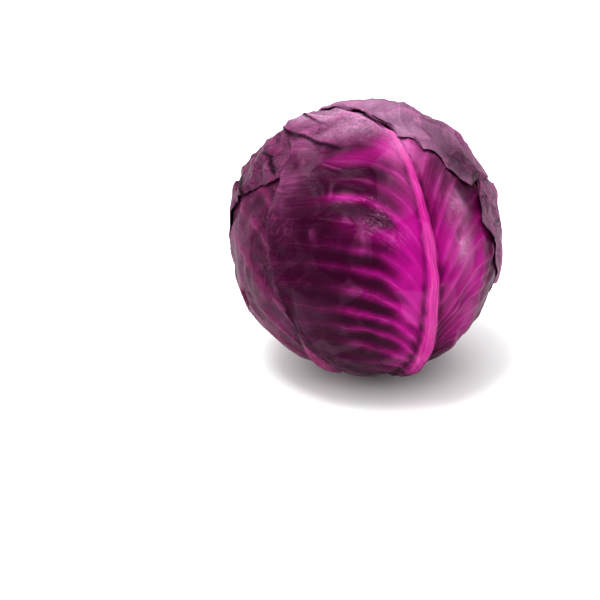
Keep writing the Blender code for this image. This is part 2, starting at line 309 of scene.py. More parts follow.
class Ground:
    """The outermost surface so far, as the farthest distance met in each cell of a cube round the centre."""

    CELLS = 128
    RINGS = ((1.5, 8), (3.0, 12))  # degrees out, and places on the ring

    def __init__(self) -> None:
        """Starts with nothing laid."""
        self.reach = np.zeros(6 * self.CELLS**2)

    def cells(self) -> Grid:
        """The direction of each cell's middle: equal angles across each face of the cube."""
        steps = np.tan(((np.arange(self.CELLS) + 0.5) / self.CELLS - 0.5) * np.pi / 2)
        first, second = np.meshgrid(steps, steps, indexing="ij")
        sides = []
        for axis in range(3):
            for sign in (-1.0, 1.0):
                place = np.empty((self.CELLS, self.CELLS, 3))
                place[..., axis] = sign
                place[..., (axis + 1) % 3], place[..., (axis + 2) % 3] = first, second
                sides.append(place.reshape(-1, 3))
        return unit(np.vstack(sides))

    def number(self, directions: Grid) -> Grid:
        """Each direction's cell: the cube's face that it meets, and the arc tangents of its place there."""
        axis = np.abs(directions).argmax(-1)[..., None]
        major = np.take_along_axis(directions, axis, -1)[..., 0]
        places = []
        for shift in (1, 2):
            minor = np.take_along_axis(directions, (axis + shift) % 3, -1)[..., 0]
            share = np.arctan(minor / np.abs(major)) * 2.0 / np.pi + 0.5
            places.append(np.clip((share * self.CELLS).astype(int), 0, self.CELLS - 1))
        side = 2 * axis[..., 0] + (major > 0)
        return (side * self.CELLS + places[0]) * self.CELLS + places[1]

    def lay(self, directions: Grid, radius: Grid) -> None:
        """Raises the ground to a grid of points, filled in between them by equal shares of their neighbours.

        Args:
            directions: Rows of directions.
            radius: Distance from the centre along each.
        """
        points = directions * radius[..., None]
        for down in (0.0, 1 / 3, 2 / 3):
            for over in (0.0, 1 / 3, 2 / 3):
                spots = ((1 - down) * (1 - over) * points[:-1, :-1] + (1 - down) * over * points[:-1, 1:]
                         + down * (1 - over) * points[1:, :-1] + down * over * points[1:, 1:]).reshape(-1, 3)
                distance = np.linalg.norm(spots, axis=1)
                np.maximum.at(self.reach, self.number(spots), distance)

    def under(self, directions: Grid) -> Grid:
        """The ground's distance along each direction."""
        return self.reach[self.number(directions)]

    def bridged(self, directions: Grid) -> Grid:
        """The greatest distance at each direction and on two rings round it, as a stiff sheet would rest."""
        level = self.under(directions)
        helper = np.where(np.abs(directions[..., 2:]) < 0.9, [0.0, 0.0, 1.0], [1.0, 0.0, 0.0])
        first = unit(np.cross(directions, helper))
        second = np.cross(directions, first)
        for out, count in self.RINGS:
            for turn in np.arange(count) * 2 * np.pi / count:
                beside = directions + math.tan(math.radians(out)) * (math.cos(turn) * first + math.sin(turn) * second)
                level = np.maximum(level, self.under(beside))
        return level


class Maker:
    """Puts grids of points into meshes."""

    @staticmethod
    def quads(rows: int, columns: int, closed: bool = False) -> Grid:
        """The corners of a grid's faces, facing outwards when rows run up and columns run to the right."""
        index = np.arange(rows * columns).reshape(rows, columns)
        if closed:
            index = np.hstack([index, index[:, :1]])
        return np.stack([index[:-1, :-1], index[:-1, 1:], index[1:, 1:], index[1:, :-1]], -1).reshape(-1, 4)

    @staticmethod
    def piece(name: Piece, points: Grid, faces: list[Grid]) -> bpy.types.Object:
        """Makes a smooth piece at the origin that rides on the head and stands for its node.

        Args:
            name: The node that it stands for.
            points: Places in metres.
            faces: Arrays of corners, each array with one number of corners a face.

        Returns:
            The new object.
        """
        mesh = bpy.data.meshes.new(name.value)
        sizes = np.concatenate([np.full(len(part), part.shape[1]) for part in faces])
        corners = np.concatenate([part.ravel() for part in faces])
        mesh.vertices.add(len(points))
        mesh.vertices.foreach_set("co", points.astype(np.float32).ravel())
        mesh.loops.add(len(corners))
        mesh.loops.foreach_set("vertex_index", corners.astype(np.int32))
        mesh.polygons.add(len(sizes))
        mesh.polygons.foreach_set("loop_start", np.concatenate([[0], np.cumsum(sizes)[:-1]]).astype(np.int32))
        mesh.update(calc_edges=True)
        mesh.validate()
        mesh.shade_smooth()
        obj = bpy.data.objects.new(name.value + "_skin", mesh)
        bpy.context.scene.collection.objects.link(obj)
        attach(obj, "root")
        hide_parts(name.value)
        return obj

    @staticmethod
    def attribute(obj: bpy.types.Object, name: str, values: list[Grid]) -> None:
        """Stores three values at each point, for the finish to read.

        Args:
            obj: The piece.
            name: The attribute's name.
            values: Three arrays, one value a point.
        """
        layer = obj.data.attributes.new(name, "FLOAT_VECTOR", "POINT")
        layer.data.foreach_set("vector", np.stack([v.ravel() for v in values], -1).astype(np.float32).ravel())

    @staticmethod
    def map_corners(obj: bpy.types.Object, across: Grid, along: Grid) -> None:
        """Gives the piece its own map: across and along at each face corner."""
        layer = obj.data.uv_layers.new(name="leaf")
        corners = np.empty(len(obj.data.loops), np.int32)
        obj.data.loops.foreach_get("vertex_index", corners)
        both = np.stack([across.ravel()[corners], along.ravel()[corners]], -1)
        layer.data.foreach_set("uv", both.astype(np.float32).ravel())


Value = Any  # a socket or a plain number or colour


class Wiring:
    """Adds and joins the nodes of one material or group."""

    def __init__(self, tree: bpy.types.NodeTree) -> None:
        """Works in the tree given."""
        self.tree = tree

    def put(self, target: bpy.types.NodeSocket, value: Value) -> None:
        """Joins a socket to the target, or sets a plain value on it."""
        if isinstance(value, bpy.types.NodeSocket):
            self.tree.links.new(value, target)
        else:
            target.default_value = value

    def add(self, kind: str, **settings: Any) -> bpy.types.Node:
        """Adds a node of the kind given, with its settings."""
        node = self.tree.nodes.new(kind)
        for name, value in settings.items():
            setattr(node, name, value)
        return node

    def sum(self, operation: str, *values: Value) -> bpy.types.NodeSocket:
        """A Math node's result."""
        node = self.add("ShaderNodeMath", operation=operation)
        for target, value in zip(node.inputs, values):
            self.put(target, value)
        return node.outputs[0]

    def ramp(self, value: Value, low: Value, high: Value, start: float = 0.0, end: float = 1.0) -> bpy.types.NodeSocket:
        """Eases from start to end as the value goes from low to high."""
        node = self.add("ShaderNodeMapRange", interpolation_type="SMOOTHSTEP")
        for target, item in zip(node.inputs, (value, low, high, start, end)):
            self.put(target, item)
        return node.outputs[0]

    def mix(self, share: Value, first: Value, second: Value, blend: str = "MIX") -> bpy.types.NodeSocket:
        """Two colours mixed."""
        node = self.add("ShaderNodeMix", data_type="RGBA", blend_type=blend)
        self.put(node.inputs[0], share)
        self.put(node.inputs[6], first)
        self.put(node.inputs[7], second)
        return node.outputs[2]

    def noise(self, place: Value, scale: float, detail: float = 3.0, roughness: float = 0.55,
              distortion: float = 0.0) -> bpy.types.NodeSocket:
        """Noise between 0 and 1 at each place."""
        node = self.add("ShaderNodeTexNoise")
        for name, value in (("Vector", place), ("Scale", scale), ("Detail", detail), ("Roughness", roughness),
                            ("Distortion", distortion)):
            self.put(node.inputs[name], value)
        return node.outputs["Fac"]

    def stretch(self, place: Value, scale: tuple[float, float, float]) -> bpy.types.NodeSocket:
        """The places multiplied by a scale along each way."""
        node = self.add("ShaderNodeVectorMath", operation="MULTIPLY")
        self.put(node.inputs[0], place)
        node.inputs[1].default_value = scale
        return node.outputs[0]

    def three(self, name: str) -> tuple[bpy.types.NodeSocket, ...]:
        """The three values of a stored attribute."""
        source = self.add("ShaderNodeAttribute", attribute_type="GEOMETRY", attribute_name=name)
        parts = self.add("ShaderNodeSeparateXYZ")
        self.put(parts.inputs[0], source.outputs["Vector"])
        return tuple(parts.outputs)

    def group(self, tree: bpy.types.NodeTree, **values: Value) -> bpy.types.Node:
        """Places a group, its inputs named with low lines for spaces."""
        node = self.add("ShaderNodeGroup", node_tree=tree)
        for name, value in values.items():
            self.put(node.inputs[name.replace("_", " ")], value)
        return node


class Effects:
    """The shader groups that the finishes share, each built once."""

    @staticmethod
    def start(name: str, inputs: dict[str, str], outputs: dict[str, str]) -> tuple[Wiring, Any, Any]:
        """Begins a group.

        Args:
            name: The group's name.
            inputs: Each input's kind of socket, by name.
            outputs: Each output's kind of socket, by name.

        Returns:
            Its wiring, the sockets that come in and those that go out.
        """
        tree = bpy.data.node_groups.new(name, "ShaderNodeTree")
        for way, sockets in (("INPUT", inputs), ("OUTPUT", outputs)):
            for label, kind in sockets.items():
                tree.interface.new_socket(label, in_out=way, socket_type="NodeSocket" + kind)
        wiring = Wiring(tree)
        return wiring, wiring.add("NodeGroupInput").outputs, wiring.add("NodeGroupOutput").inputs

    @classmethod
    def side_veins(cls) -> bpy.types.NodeTree:
        """Side veins where the phase is a whole number, and finer ones half-way between, thinning outwards.

        The glow falls off in shares of the phase and the crest in millimetres.
        """
        w, given, out = cls.start(
            "side veins",
            {"Phase": "Float", "Spacing": "Float", "Strength": "Float", "Out": "Float", "Place": "Vector",
             "Glow Width": "Float", "Crest Width": "Float"},
            {"Glow": "Float", "Crest": "Float", "Height": "Float"})
        stray = w.sum("MULTIPLY", w.sum("SUBTRACT", w.noise(given["Place"], 45.0, 3.0), 0.5), 0.55)
        phase = w.sum("ADD", given["Phase"], w.sum("MULTIPLY", stray, w.ramp(given["Out"], 0.02, 0.4)))
        near = w.sum("PINGPONG", phase, 0.5)
        distance = w.sum("MULTIPLY", near, given["Spacing"])
        halfway = w.sum("MULTIPLY", w.sum("SUBTRACT", 0.5, near), given["Spacing"])
        glow = w.ramp(near, 0.0, given["Glow Width"], 1.0, 0.0)
        narrowing = w.sum("MULTIPLY", given["Crest Width"], w.ramp(given["Out"], 0.0, 1.0, 1.0, 0.45))
        worn = w.ramp(w.noise(given["Place"], 85.0, 2.0), 0.40, 0.62, 0.1, 1.0)
        crest = w.sum("MULTIPLY", w.ramp(distance, 0.0, narrowing, 1.0, 0.0), worn)
        fine = w.sum("MULTIPLY", w.ramp(halfway, 0.0, w.sum("MULTIPLY", narrowing, 0.7), 1.0, 0.0),
                     w.sum("MULTIPLY", worn, w.ramp(given["Out"], 0.25, 0.55, 0.0, 0.1)))
        w.put(out["Glow"], w.sum("MULTIPLY", glow, given["Strength"]))
        w.put(out["Crest"], w.sum("MULTIPLY", w.sum("MAXIMUM", crest, fine), given["Strength"]))
        w.put(out["Height"], w.sum("ADD", w.sum("MULTIPLY", glow, 0.5), w.sum("MULTIPLY", crest, 0.5)))
        return w.tree

    @classmethod
    def vein_network(cls) -> bpy.types.NodeTree:
        """The finest veins: the borders of two sizes of uneven cells."""
        w, given, out = cls.start("vein network", {"Place": "Vector", "Coarse": "Float", "Fine": "Float"},
                                  {"Lines": "Float", "Height": "Float"})
        bent = w.add("ShaderNodeTexNoise")
        w.put(bent.inputs["Vector"], given["Place"])
        w.put(bent.inputs["Scale"], 110.0)
        shift = w.stretch(bent.outputs["Color"], (0.004, 0.004, 0.004))
        place = w.add("ShaderNodeVectorMath", operation="ADD")
        w.put(place.inputs[0], given["Place"])
        w.put(place.inputs[1], shift)
        lines = []
        for size, width in (("Coarse", 0.085), ("Fine", 0.075)):
            cells = w.add("ShaderNodeTexVoronoi", feature="DISTANCE_TO_EDGE")
            w.put(cells.inputs["Vector"], place.outputs[0])
            w.put(cells.inputs["Scale"], given[size])
            lines.append(w.ramp(cells.outputs["Distance"], 0.0, width, 1.0, 0.0))
        both = w.sum("MAXIMUM", lines[0], w.sum("MULTIPLY", lines[1], 0.5))
        w.put(out["Lines"], both)
        w.put(out["Height"], both)
        return w.tree

    @classmethod
    def wrinkles(cls) -> bpy.types.NodeTree:
        """Fine wrinkles: noise drawn out along the side veins, over fainter noise that has no grain.

        Crinkles are thin lines where noise of two sizes crosses its middle, painted dark as shade, and each has a lit
        lip on its higher side, painted as a highlight.
        """
        w, given, out = cls.start("leaf wrinkles", {"Map": "Vector", "Place": "Vector"},
                                  {"Streaks": "Float", "Mottle": "Float", "Height": "Float", "Crinkles": "Float",
                                   "Lit": "Float"})
        crinkles, lit = [], []
        for scale, width in ((42.0, 0.016), (88.0, 0.020)):
            level = w.sum("SUBTRACT", w.noise(given["Place"], scale, 3.0, 0.5, 1.1), 0.5)
            crinkles.append(w.ramp(w.sum("ABSOLUTE", level), 0.0, width, 1.0, 0.0))
            rising, falling = w.ramp(level, width * 0.7, width * 1.6), w.ramp(level, width * 1.6, width * 4.5, 1.0, 0.0)
            lit.append(w.sum("MULTIPLY", rising, falling))
        w.put(out["Crinkles"], w.sum("MAXIMUM", crinkles[0], w.sum("MULTIPLY", crinkles[1], 0.6)))
        w.put(out["Lit"], w.sum("MAXIMUM", lit[0], w.sum("MULTIPLY", lit[1], 0.6)))
        streaks = w.noise(w.stretch(given["Map"], (9.0, 150.0, 1.0)), 1.0, 3.0, 0.6, 0.3)
        broad = w.noise(w.stretch(given["Map"], (5.0, 46.0, 1.0)), 1.0, 2.0, 0.5, 0.4)
        mottle = w.noise(given["Place"], 95.0, 4.0, 0.6, 0.4)
        pores = w.noise(given["Place"], 1500.0, 2.0, 0.5)
        w.put(out["Streaks"], w.sum("ADD", w.sum("MULTIPLY", streaks, 0.6), w.sum("MULTIPLY", broad, 0.4)))
        w.put(out["Mottle"], mottle)
        height = w.sum("ADD", w.sum("MULTIPLY", streaks, 0.55), w.sum("MULTIPLY", broad, 0.5))
        w.put(out["Height"], w.sum("ADD", height, w.sum("MULTIPLY", pores, 0.10)))
        return w.tree

    @classmethod
    def bloom(cls) -> bpy.types.NodeTree:
        """The wax that whitens a leaf, and the painted sheen and highlights laid in the same colour: uneven, rubbed off
        in specks and thin scratches.
        """
        w, given, out = cls.start("wax bloom", {"Color": "Color", "Wax": "Color", "Amount": "Float",
                                                "Place": "Vector", "Roughness": "Float"},
                                  {"Color": "Color", "Roughness": "Float"})
        clouds = w.ramp(w.noise(given["Place"], 60.0, 5.0, 0.62, 0.5), 0.32, 0.72)
        specks = w.ramp(w.noise(given["Place"], 620.0, 3.0, 0.7), 0.35, 0.62)
        uneven = w.sum("MULTIPLY", w.sum("ADD", 0.35, w.sum("MULTIPLY", clouds, 0.65)),
                       w.sum("ADD", 0.55, w.sum("MULTIPLY", specks, 0.45)))
        share = w.sum("MULTIPLY", given["Amount"], uneven)
        w.put(out["Color"], w.mix(share, given["Color"], given["Wax"]))
        dull = w.sum("ADD", given["Roughness"], w.sum("MULTIPLY", share, 0.22))
        w.put(out["Roughness"], w.sum("ADD", dull, w.sum("MULTIPLY", w.sum("SUBTRACT", specks, 0.5), 0.05)))
        return w.tree

    def __init__(self) -> None:
        """Builds every group."""
        self.veins = self.side_veins()
        self.network = self.vein_network()
        self.creasing = self.wrinkles()
        self.wax_and_sheen = self.bloom()


@dataclass(frozen=True)
class LeafFinish:
    """The skin of a red cabbage leaf: its pigments, its waxy bloom, how much of each vein shows, and the light and
    shade painted into its colour.
    """

    deep: Colour = srgb(42, 0, 28)
    blade: Colour = srgb(100, 0, 70)
    stripe: Colour = srgb(130, 0, 92)
    vivid: Colour = srgb(156, 12, 120)
    crest: Colour = srgb(202, 92, 166)
    rib: Colour = srgb(186, 58, 134)
    dust: Colour = srgb(136, 70, 112)
    # the wax bloom's colour, also used for painted sheen and painted highlights
    wax_and_sheen: Colour = srgb(230, 174, 212)
    # painted shadow, in creases and round the margin
    edge: Colour = srgb(24, 2, 18)
    glow_width: float = 0.42
    crest_width: float = 0.75
    glow_share: float = 1.0
    crest_share: float = 0.22
    network_share: float = 0.012
    seam_share: float = 0.0
    # painted light and shade pane by pane
    pane_shading_share: float = 0.04
    # painted highlight on ridges and painted shade in hollows
    ridge_highlight_share: float = 0.15
    hollow_shade_share: float = 0.5
    roughness: float = 0.36
    relief: float = 0.0007

    def make(self, name: str, effects: Effects) -> bpy.types.Material:
        """Builds the material.

        The blade runs from deep to bright by the stored glow. Dark ground between the veins, which is darker pigment
        and painted shade, the veins' own glow and pale crests, the finest network and the scratches are laid over it in
        turn, then the rib with a painted shade line along each flank, painted shade towards the foot, the dusty tone,
        and the wax with its painted sheen and highlights. Painted light and shade pane by pane, a painted highlight on
        ridges and painted shade in hollows, the painted shade between the veins once more, crinkles painted dark as
        shade with their lit lips painted as highlight, rubbed spots, and the painted shadow line in each crease and
        round the margin come last.

        Args:
            name: The material's name.
            effects: The shared groups.

        Returns:
            The material.
        """
        material = bpy.data.materials.new(name)
        material.use_nodes = True
        w = Wiring(material.node_tree)
        place = w.add("ShaderNodeTexCoord").outputs["Object"]
        leaf_map = w.add("ShaderNodeUVMap", uv_map="leaf").outputs["UV"]
        phase, spacing, strength = w.three("veins")
        out, rib, edge = w.three("blade")
        glow, shade, dust = w.three("tone")
        wax_and_sheen, scuff, seams = w.three("skin")
        relief, pane_shading, rumpled = w.three("relief")
        ribbing = w.add("ShaderNodeAttribute", attribute_type="GEOMETRY", attribute_name="ribbing").outputs["Vector"]

        veins = w.group(effects.veins, Phase=phase, Spacing=spacing, Strength=strength, Out=out, Place=place,
                        Glow_Width=self.glow_width, Crest_Width=self.crest_width)
        network = w.group(effects.network, Place=place, Coarse=150.0, Fine=420.0)
        creasing = w.group(effects.creasing, Map=leaf_map, Place=place)
        mottle = creasing.outputs["Mottle"]
        streaks = creasing.outputs["Streaks"]

        bright = w.sum("ADD", glow, w.sum("MULTIPLY", w.sum("SUBTRACT", mottle, 0.5), 0.3))
        colour = w.mix(w.ramp(bright, 0.0, 0.8), self.deep, self.blade)
        colour = w.mix(w.ramp(glow, 0.45, 1.0), colour, self.vivid)
        soft = w.sum("MULTIPLY", veins.outputs["Glow"], w.ramp(mottle, 0.30, 0.6, 0.6, 1.0))
        soft = w.sum("MULTIPLY", soft, w.ramp(out, 0.45, 0.80, 1.0, 0.12))
        # painted shade between the veins, together with the darker pigment there
        between = w.sum("MULTIPLY", shade, w.sum("SUBTRACT", 1.0, w.sum("MULTIPLY", soft, 0.9)))
        colour = w.mix(between, colour, self.deep)
        vein_colour = w.mix(w.ramp(glow, 0.0, 0.5), self.stripe, self.vivid)
        fading = w.ramp(w.noise(place, 26.0, 2.0), 0.32, 0.62, 0.15, 1.0)
        spread = w.sum("MAXIMUM", fading, w.ramp(glow, 0.2, 0.7))
        colour = w.mix(w.sum("MULTIPLY", w.sum("MULTIPLY", soft, self.glow_share), spread), colour, vein_colour)
        colour = w.mix(w.sum("MULTIPLY", network.outputs["Lines"], self.network_share), colour, self.crest)
        lines = w.sum("MULTIPLY", w.sum("MULTIPLY", veins.outputs["Crest"], self.crest_share), fading)
        colour = w.mix(w.sum("MULTIPLY", lines, w.ramp(out, 0.5, 0.9, 1.0, 0.35)), colour, self.crest)
        colour = w.mix(w.sum("MULTIPLY", w.ramp(seams, 0.85, 1.25), self.seam_share), colour, self.crest)
        grain = w.sum("ADD", 0.1, w.sum("MULTIPLY", dust, 0.9))
        colour = w.mix(w.sum("MULTIPLY", w.ramp(streaks, 0.50, 0.72, 0.0, 0.4), grain), colour, self.crest)
        colour = w.mix(w.sum("MULTIPLY", w.ramp(streaks, 0.30, 0.50, 0.45, 0.0), grain), colour, self.deep)
        grooves = w.noise(w.stretch(ribbing, (3.2, 9.0, 1.0)), 1.0, 3.0, 0.6, 0.2)
        ribbed = w.mix(w.ramp(grooves, 0.34, 0.66), self.vivid, self.rib)
        ribbed = w.mix(w.ramp(grooves, 0.56, 0.74, 0.0, 0.6), ribbed, self.crest)
        colour = w.mix(w.sum("MULTIPLY", rib, 0.9), colour, ribbed)
        beside = w.add("ShaderNodeSeparateXYZ")
        w.put(beside.inputs[0], ribbing)
        gap = w.sum("ABSOLUTE", beside.outputs[0])
        # painted shade: the lower end of the leaf darkens towards its foot
        colour = w.mix(w.ramp(beside.outputs[1], 0.15, 0.03, 0.0, 0.6), colour, self.deep)
        # a painted shade line along each flank of the midrib, darker on the left
        flank_shade = w.sum("MULTIPLY", w.ramp(gap, 0.75, 1.15), w.ramp(gap, 1.15, 2.1, 1.0, 0.0))
        flank_shade = w.sum("MULTIPLY", flank_shade, w.ramp(beside.outputs[1], 0.9, 0.2, 0.1, 0.55))
        colour = w.mix(w.sum("MULTIPLY", flank_shade, w.ramp(beside.outputs[0], -0.5, 0.5, 1.0, 0.45)), colour, self.deep)
        dusty = w.sum("MULTIPLY", dust, w.ramp(streaks, 0.32, 0.62, 0.5, 1.0))
        colour = w.mix(dusty, colour, self.dust)
        # the wax bloom, with the painted sheen beside the rib and the painted highlight along the top laid in the wax
        # colour
        waxed = w.group(effects.wax_and_sheen, Color=colour, Wax=self.wax_and_sheen, Amount=wax_and_sheen, Place=place, Roughness=self.roughness)
        colour = waxed.outputs["Color"]
        # painted light and shade pane by pane
        colour = w.mix(w.ramp(pane_shading, 0.5, 0.1, 0.0, self.pane_shading_share), colour, self.deep)
        colour = w.mix(w.ramp(pane_shading, 0.5, 0.9, 0.0, self.pane_shading_share), colour, self.wax_and_sheen)
        # painted highlight on ridges and painted shade in hollows
        colour = w.mix(w.ramp(relief, 0.15, 1.0, 0.0, self.ridge_highlight_share), colour, self.crest)
        colour = w.mix(w.ramp(relief, -0.1, -0.9, 0.0, self.hollow_shade_share), colour, self.deep)
        # the painted shade between the veins, laid again over the wax
        colour = w.mix(w.sum("MULTIPLY", between, 0.7), colour, self.deep)
        # crinkles painted dark as shade, their lit lips painted as highlight
        crinkles = w.sum("MULTIPLY", creasing.outputs["Crinkles"], rumpled)
        colour = w.mix(w.sum("MULTIPLY", w.sum("MULTIPLY", creasing.outputs["Lit"], rumpled), 0.35), colour, self.crest)
        colour = w.mix(w.sum("MULTIPLY", crinkles, 0.55), colour, self.deep)
        rubbed = w.noise(w.stretch(leaf_map, (60.0, 130.0, 1.0)), 1.0, 6.0, 0.75, 0.6)
        colour = w.mix(w.sum("MULTIPLY", scuff, w.ramp(rubbed, 0.44, 0.74)), colour, self.wax_and_sheen)
        colour = w.mix(w.sum("MULTIPLY", scuff, w.ramp(rubbed, 0.47, 0.38)), colour, self.deep)
        # painted shadow line in the creases and round the margin
        colour = w.mix(edge, colour, self.edge)

        height = w.sum("ADD", w.sum("MULTIPLY", veins.outputs["Height"], 0.55),
                       w.sum("MULTIPLY", network.outputs["Height"], 0.08))
        height = w.sum("ADD", height, w.sum("MULTIPLY", creasing.outputs["Height"], w.sum("ADD", 0.3, dust)))
        height = w.sum("ADD", height, w.sum("MULTIPLY", w.sum("MULTIPLY", grooves, rib), 0.9))
        height = w.sum("SUBTRACT", height, w.sum("MULTIPLY", crinkles, 0.8))
        bump = w.add("ShaderNodeBump")
        bump.inputs["Strength"].default_value = 0.8
        bump.inputs["Distance"].default_value = self.relief
        w.put(bump.inputs["Height"], height)

        shader = material.node_tree.nodes["Principled BSDF"]
        w.put(shader.inputs["Base Color"], colour)
        w.put(shader.inputs["Roughness"], waxed.outputs["Roughness"])
        w.put(shader.inputs["Normal"], bump.outputs[0])
        shader.inputs["Specular IOR Level"].default_value = 0.05
        shader.inputs["Sheen Weight"].default_value = 0.005
        shader.inputs["Sheen Roughness"].default_value = 0.45
        shader.inputs["Sheen Tint"].default_value = srgb(226, 196, 226)
        return material


@dataclass(frozen=True)
class Tone:
    """Where a leaf is bright, shaded, dusty, waxed or scuffed, over an even level of each. The shade is darker pigment
    between the veins together with painted shade near the foot and where a leaf turns from the light; the wax also
    carries painted sheen and highlights.
    """

    glow: Patches = ()
    # darker pigment between the veins, with painted shade near the foot and where the leaf turns from the light
    shade: Patches = ()
    dust: Patches = ()
    # wax bloom, together with painted sheen and painted highlights
    wax_and_sheen: Patches = ()
    scuff: Patches = ()
    even_glow: float = 0.25
    even_dust: float = 0.0
    even_wax: float = 0.12
    even_crinkle: float = 0.0


@dataclass(frozen=True)
class WrapperLeaf:
    """One wrapper leaf: its outline, its veins, how it lies and how it is coloured.

    The outline lists bearing and reach in degrees: bearing 0 points to the tip and 180 to the foot, negative on the
    left. Detail lists the finer run of the margin where it shows. Veins are shares of the length at which side
    veins leave the midrib.
    """

    piece: Piece
    chart: Chart
    left: Pairs
    right: Pairs
    finish: LeafFinish
    tone: Tone
    rib: float = 1.0
    rib_bend: Pairs = ((-90, 0.0), (90, 0.0))
    strengths: tuple[float, ...] = ()
    right_veins: float = 1.0
    veins: tuple[float, ...] = (0.05, 0.10, 0.16, 0.22, 0.29, 0.365, 0.45, 0.54, 0.64, 0.75, 0.86)
    detail: Pairs = ()
    tip_height: float = 0.0
    scallop: float = 0.7
    wave: float = 0.0009
    wave_phase: float = 0.0
    lift: float = 0.0005
    swell: Patches = ()
    folds: tuple[Fold, ...] = ()
    curls: Patches = ()
    pane_size: float = 0.017
    pane_height: float = 0.0005
    pane_lean: float = 0.0002
    crumple: float = 0.0003
    rumples: Patches = ()
    rows: int = 210
    rib_columns: int = 14
    blade_columns: int = 82
    seed: int = 1

    BASE_POLAR = 168.0  # where every leaf grows out of the stalk
    VEIN_ENDS = ((0.0, 168.0), (0.12, 130.0), (0.24, 99.0), (0.37, 75.0), (0.46, 62.0), (0.60, 45.0), (0.80, 25.0),
                 (1.0, 8.0))  # share of the length where a side vein starts, bearing where it ends
    VEIN_CLIMB = 0.20  # share of the way out in which a side vein makes two thirds of its climb
    RIB_STATIONS = ((0.0, 0.0078, 0.0062), (0.12, 0.0062, 0.0055), (0.30, 0.0042, 0.0040), (0.50, 0.0030, 0.0028),
                    (0.75, 0.0022, 0.0016), (1.0, 0.0016, 0.0003))  # share, half-width and height in metres
    BLADE, MARGIN = 0.0011, 0.0005  # thickness
    GAP = 0.0002  # left under the leaf
    CLEAR = 0.00012  # and the least that it may be
    FLOOR_GAP = 0.0004
    TIP_STEP, TIP_BEARING = 11.5, -33.0  # from one pointed scallop to the next, and where one of them stands

    def outline(self) -> Pairs:
        """Bearing and reach all the way round, from foot to foot."""
        foot = self.BASE_POLAR - self.chart.polar
        return tuple(sorted({(180.0, foot), (-180.0, foot), *self.left, *self.right}))

    def half(self, side: int) -> dict[str, Grid]:
        """One half of the leaf, from the midrib out.

        Each row climbs beside the midrib and turns out to the margin, as the side veins do: the climb still left
        falls as e to minus the share out, in steps of VEIN_CLIMB. The margin's fine run pushes only the outer part
        of a row in or out.

        Args:
            side: Minus one for the left half, one for the right.

        Returns:
            Grids of x, y, the share out and the share along, and the margin's bearing.
        """
        along = np.linspace(0.0, 1.0, self.rows)[:, None]
        foot = self.BASE_POLAR - self.chart.polar
        start = self.left[0][1] * along - foot * (1 - along)
        bearing = smooth_curve(self.VEIN_ENDS, along)
        reach = smooth_curve(self.outline(), side * bearing)
        turn = np.radians(bearing)
        end_x, end_y = reach * np.sin(turn), reach * np.cos(turn)
        half_width = np.interp(along, [s[0] for s in self.RIB_STATIONS], [s[1] for s in self.RIB_STATIONS])
        ribbed = np.minimum(1.7 * half_width / METRES_PER_DEGREE / end_x, 0.5)
        inner = np.linspace(0.0, 1.0, self.rib_columns + 1)
        even = np.linspace(0.0, 1.0, self.blade_columns + 1)[1:]
        outer = even + 0.09 * np.sin(np.pi * even)
        out = np.hstack([ribbed * inner, ribbed + (1 - ribbed) * outer])

        climb = (1.0 - np.exp(-out / self.VEIN_CLIMB)) / (1.0 - math.exp(-1.0 / self.VEIN_CLIMB))
        x, y = out * end_x, start + (end_y - start) * climb
        push = self.margin_push(side, bearing, reach) * np.clip((out - 0.66) / 0.34, 0.0, 1.0) ** 1.7
        x, y = x + push * np.sin(turn), y + push * np.cos(turn)
        return {"x": side * x, "y": y, "out": out, "along": along + 0 * out, "bearing": side * bearing + 0 * out}

    def margin_push(self, side: int, bearing: Grid, reach: Grid) -> Grid:
        """How far the margin's fine run lies outside its smooth outline, in degrees.

        Small scallops are two sine waves along the margin. Where detail is given, the margin follows it instead,
        with pointed scallops on the left: one less the size of a sine, so that it peaks once every TIP_STEP degrees.
        """
        signed = side * bearing
        still = eased(150.0, 120.0, bearing) * eased(8.0, 16.0, bearing)
        waves = np.sin(signed * 0.72 + self.seed) * 0.55 + np.sin(signed * 1.37 + 2.1 * self.seed) * 0.35
        push = self.scallop * still * (waves + 0.25 * np.sin(signed * 3.1 + self.seed))
        if not self.detail:
            return push
        places, values = zip(*sorted(self.detail))
        inside = eased(places[0] - 6, places[0], signed) * eased(places[-1] + 6, places[-1], signed)
        tips = 1 - np.abs(np.sin(np.pi * (signed - self.TIP_BEARING) / self.TIP_STEP))
        tips *= eased(-60.0, -34.0, signed) * eased(-12.0, -20.0, signed)
        fine = np.interp(signed, places, values) + self.tip_height * tips - reach
        return push * (1 - 0.8 * inside) + fine * inside

    def grid(self) -> dict[str, Grid]:
        """Both halves joined at the midrib, left to right."""
        left, right = self.half(-1), self.half(1)
        return {key: np.hstack([left[key][:, :0:-1], right[key]]) for key in left}

    def vein_phase(self, g: dict[str, Grid], side: Grid) -> Grid:
        """A count that passes a whole number at each side vein, the right half's set a little apart from the left's."""
        stations = np.array([-0.02, *self.veins, 1.06])
        rng = np.random.default_rng(self.seed)
        jitter = rng.uniform(-0.008, 0.008, len(stations))
        numbers = np.arange(len(stations), dtype=float)
        left = np.interp(g["along"], stations, numbers)
        right = np.interp(g["along"], stations + jitter + 0.012, numbers)
        stray = 0.10 * np.sin(3.1 * g["out"] + 2.0 * left + self.seed) * eased(0.1, 0.5, g["out"])
        return np.where(side < 0, left, right) + stray

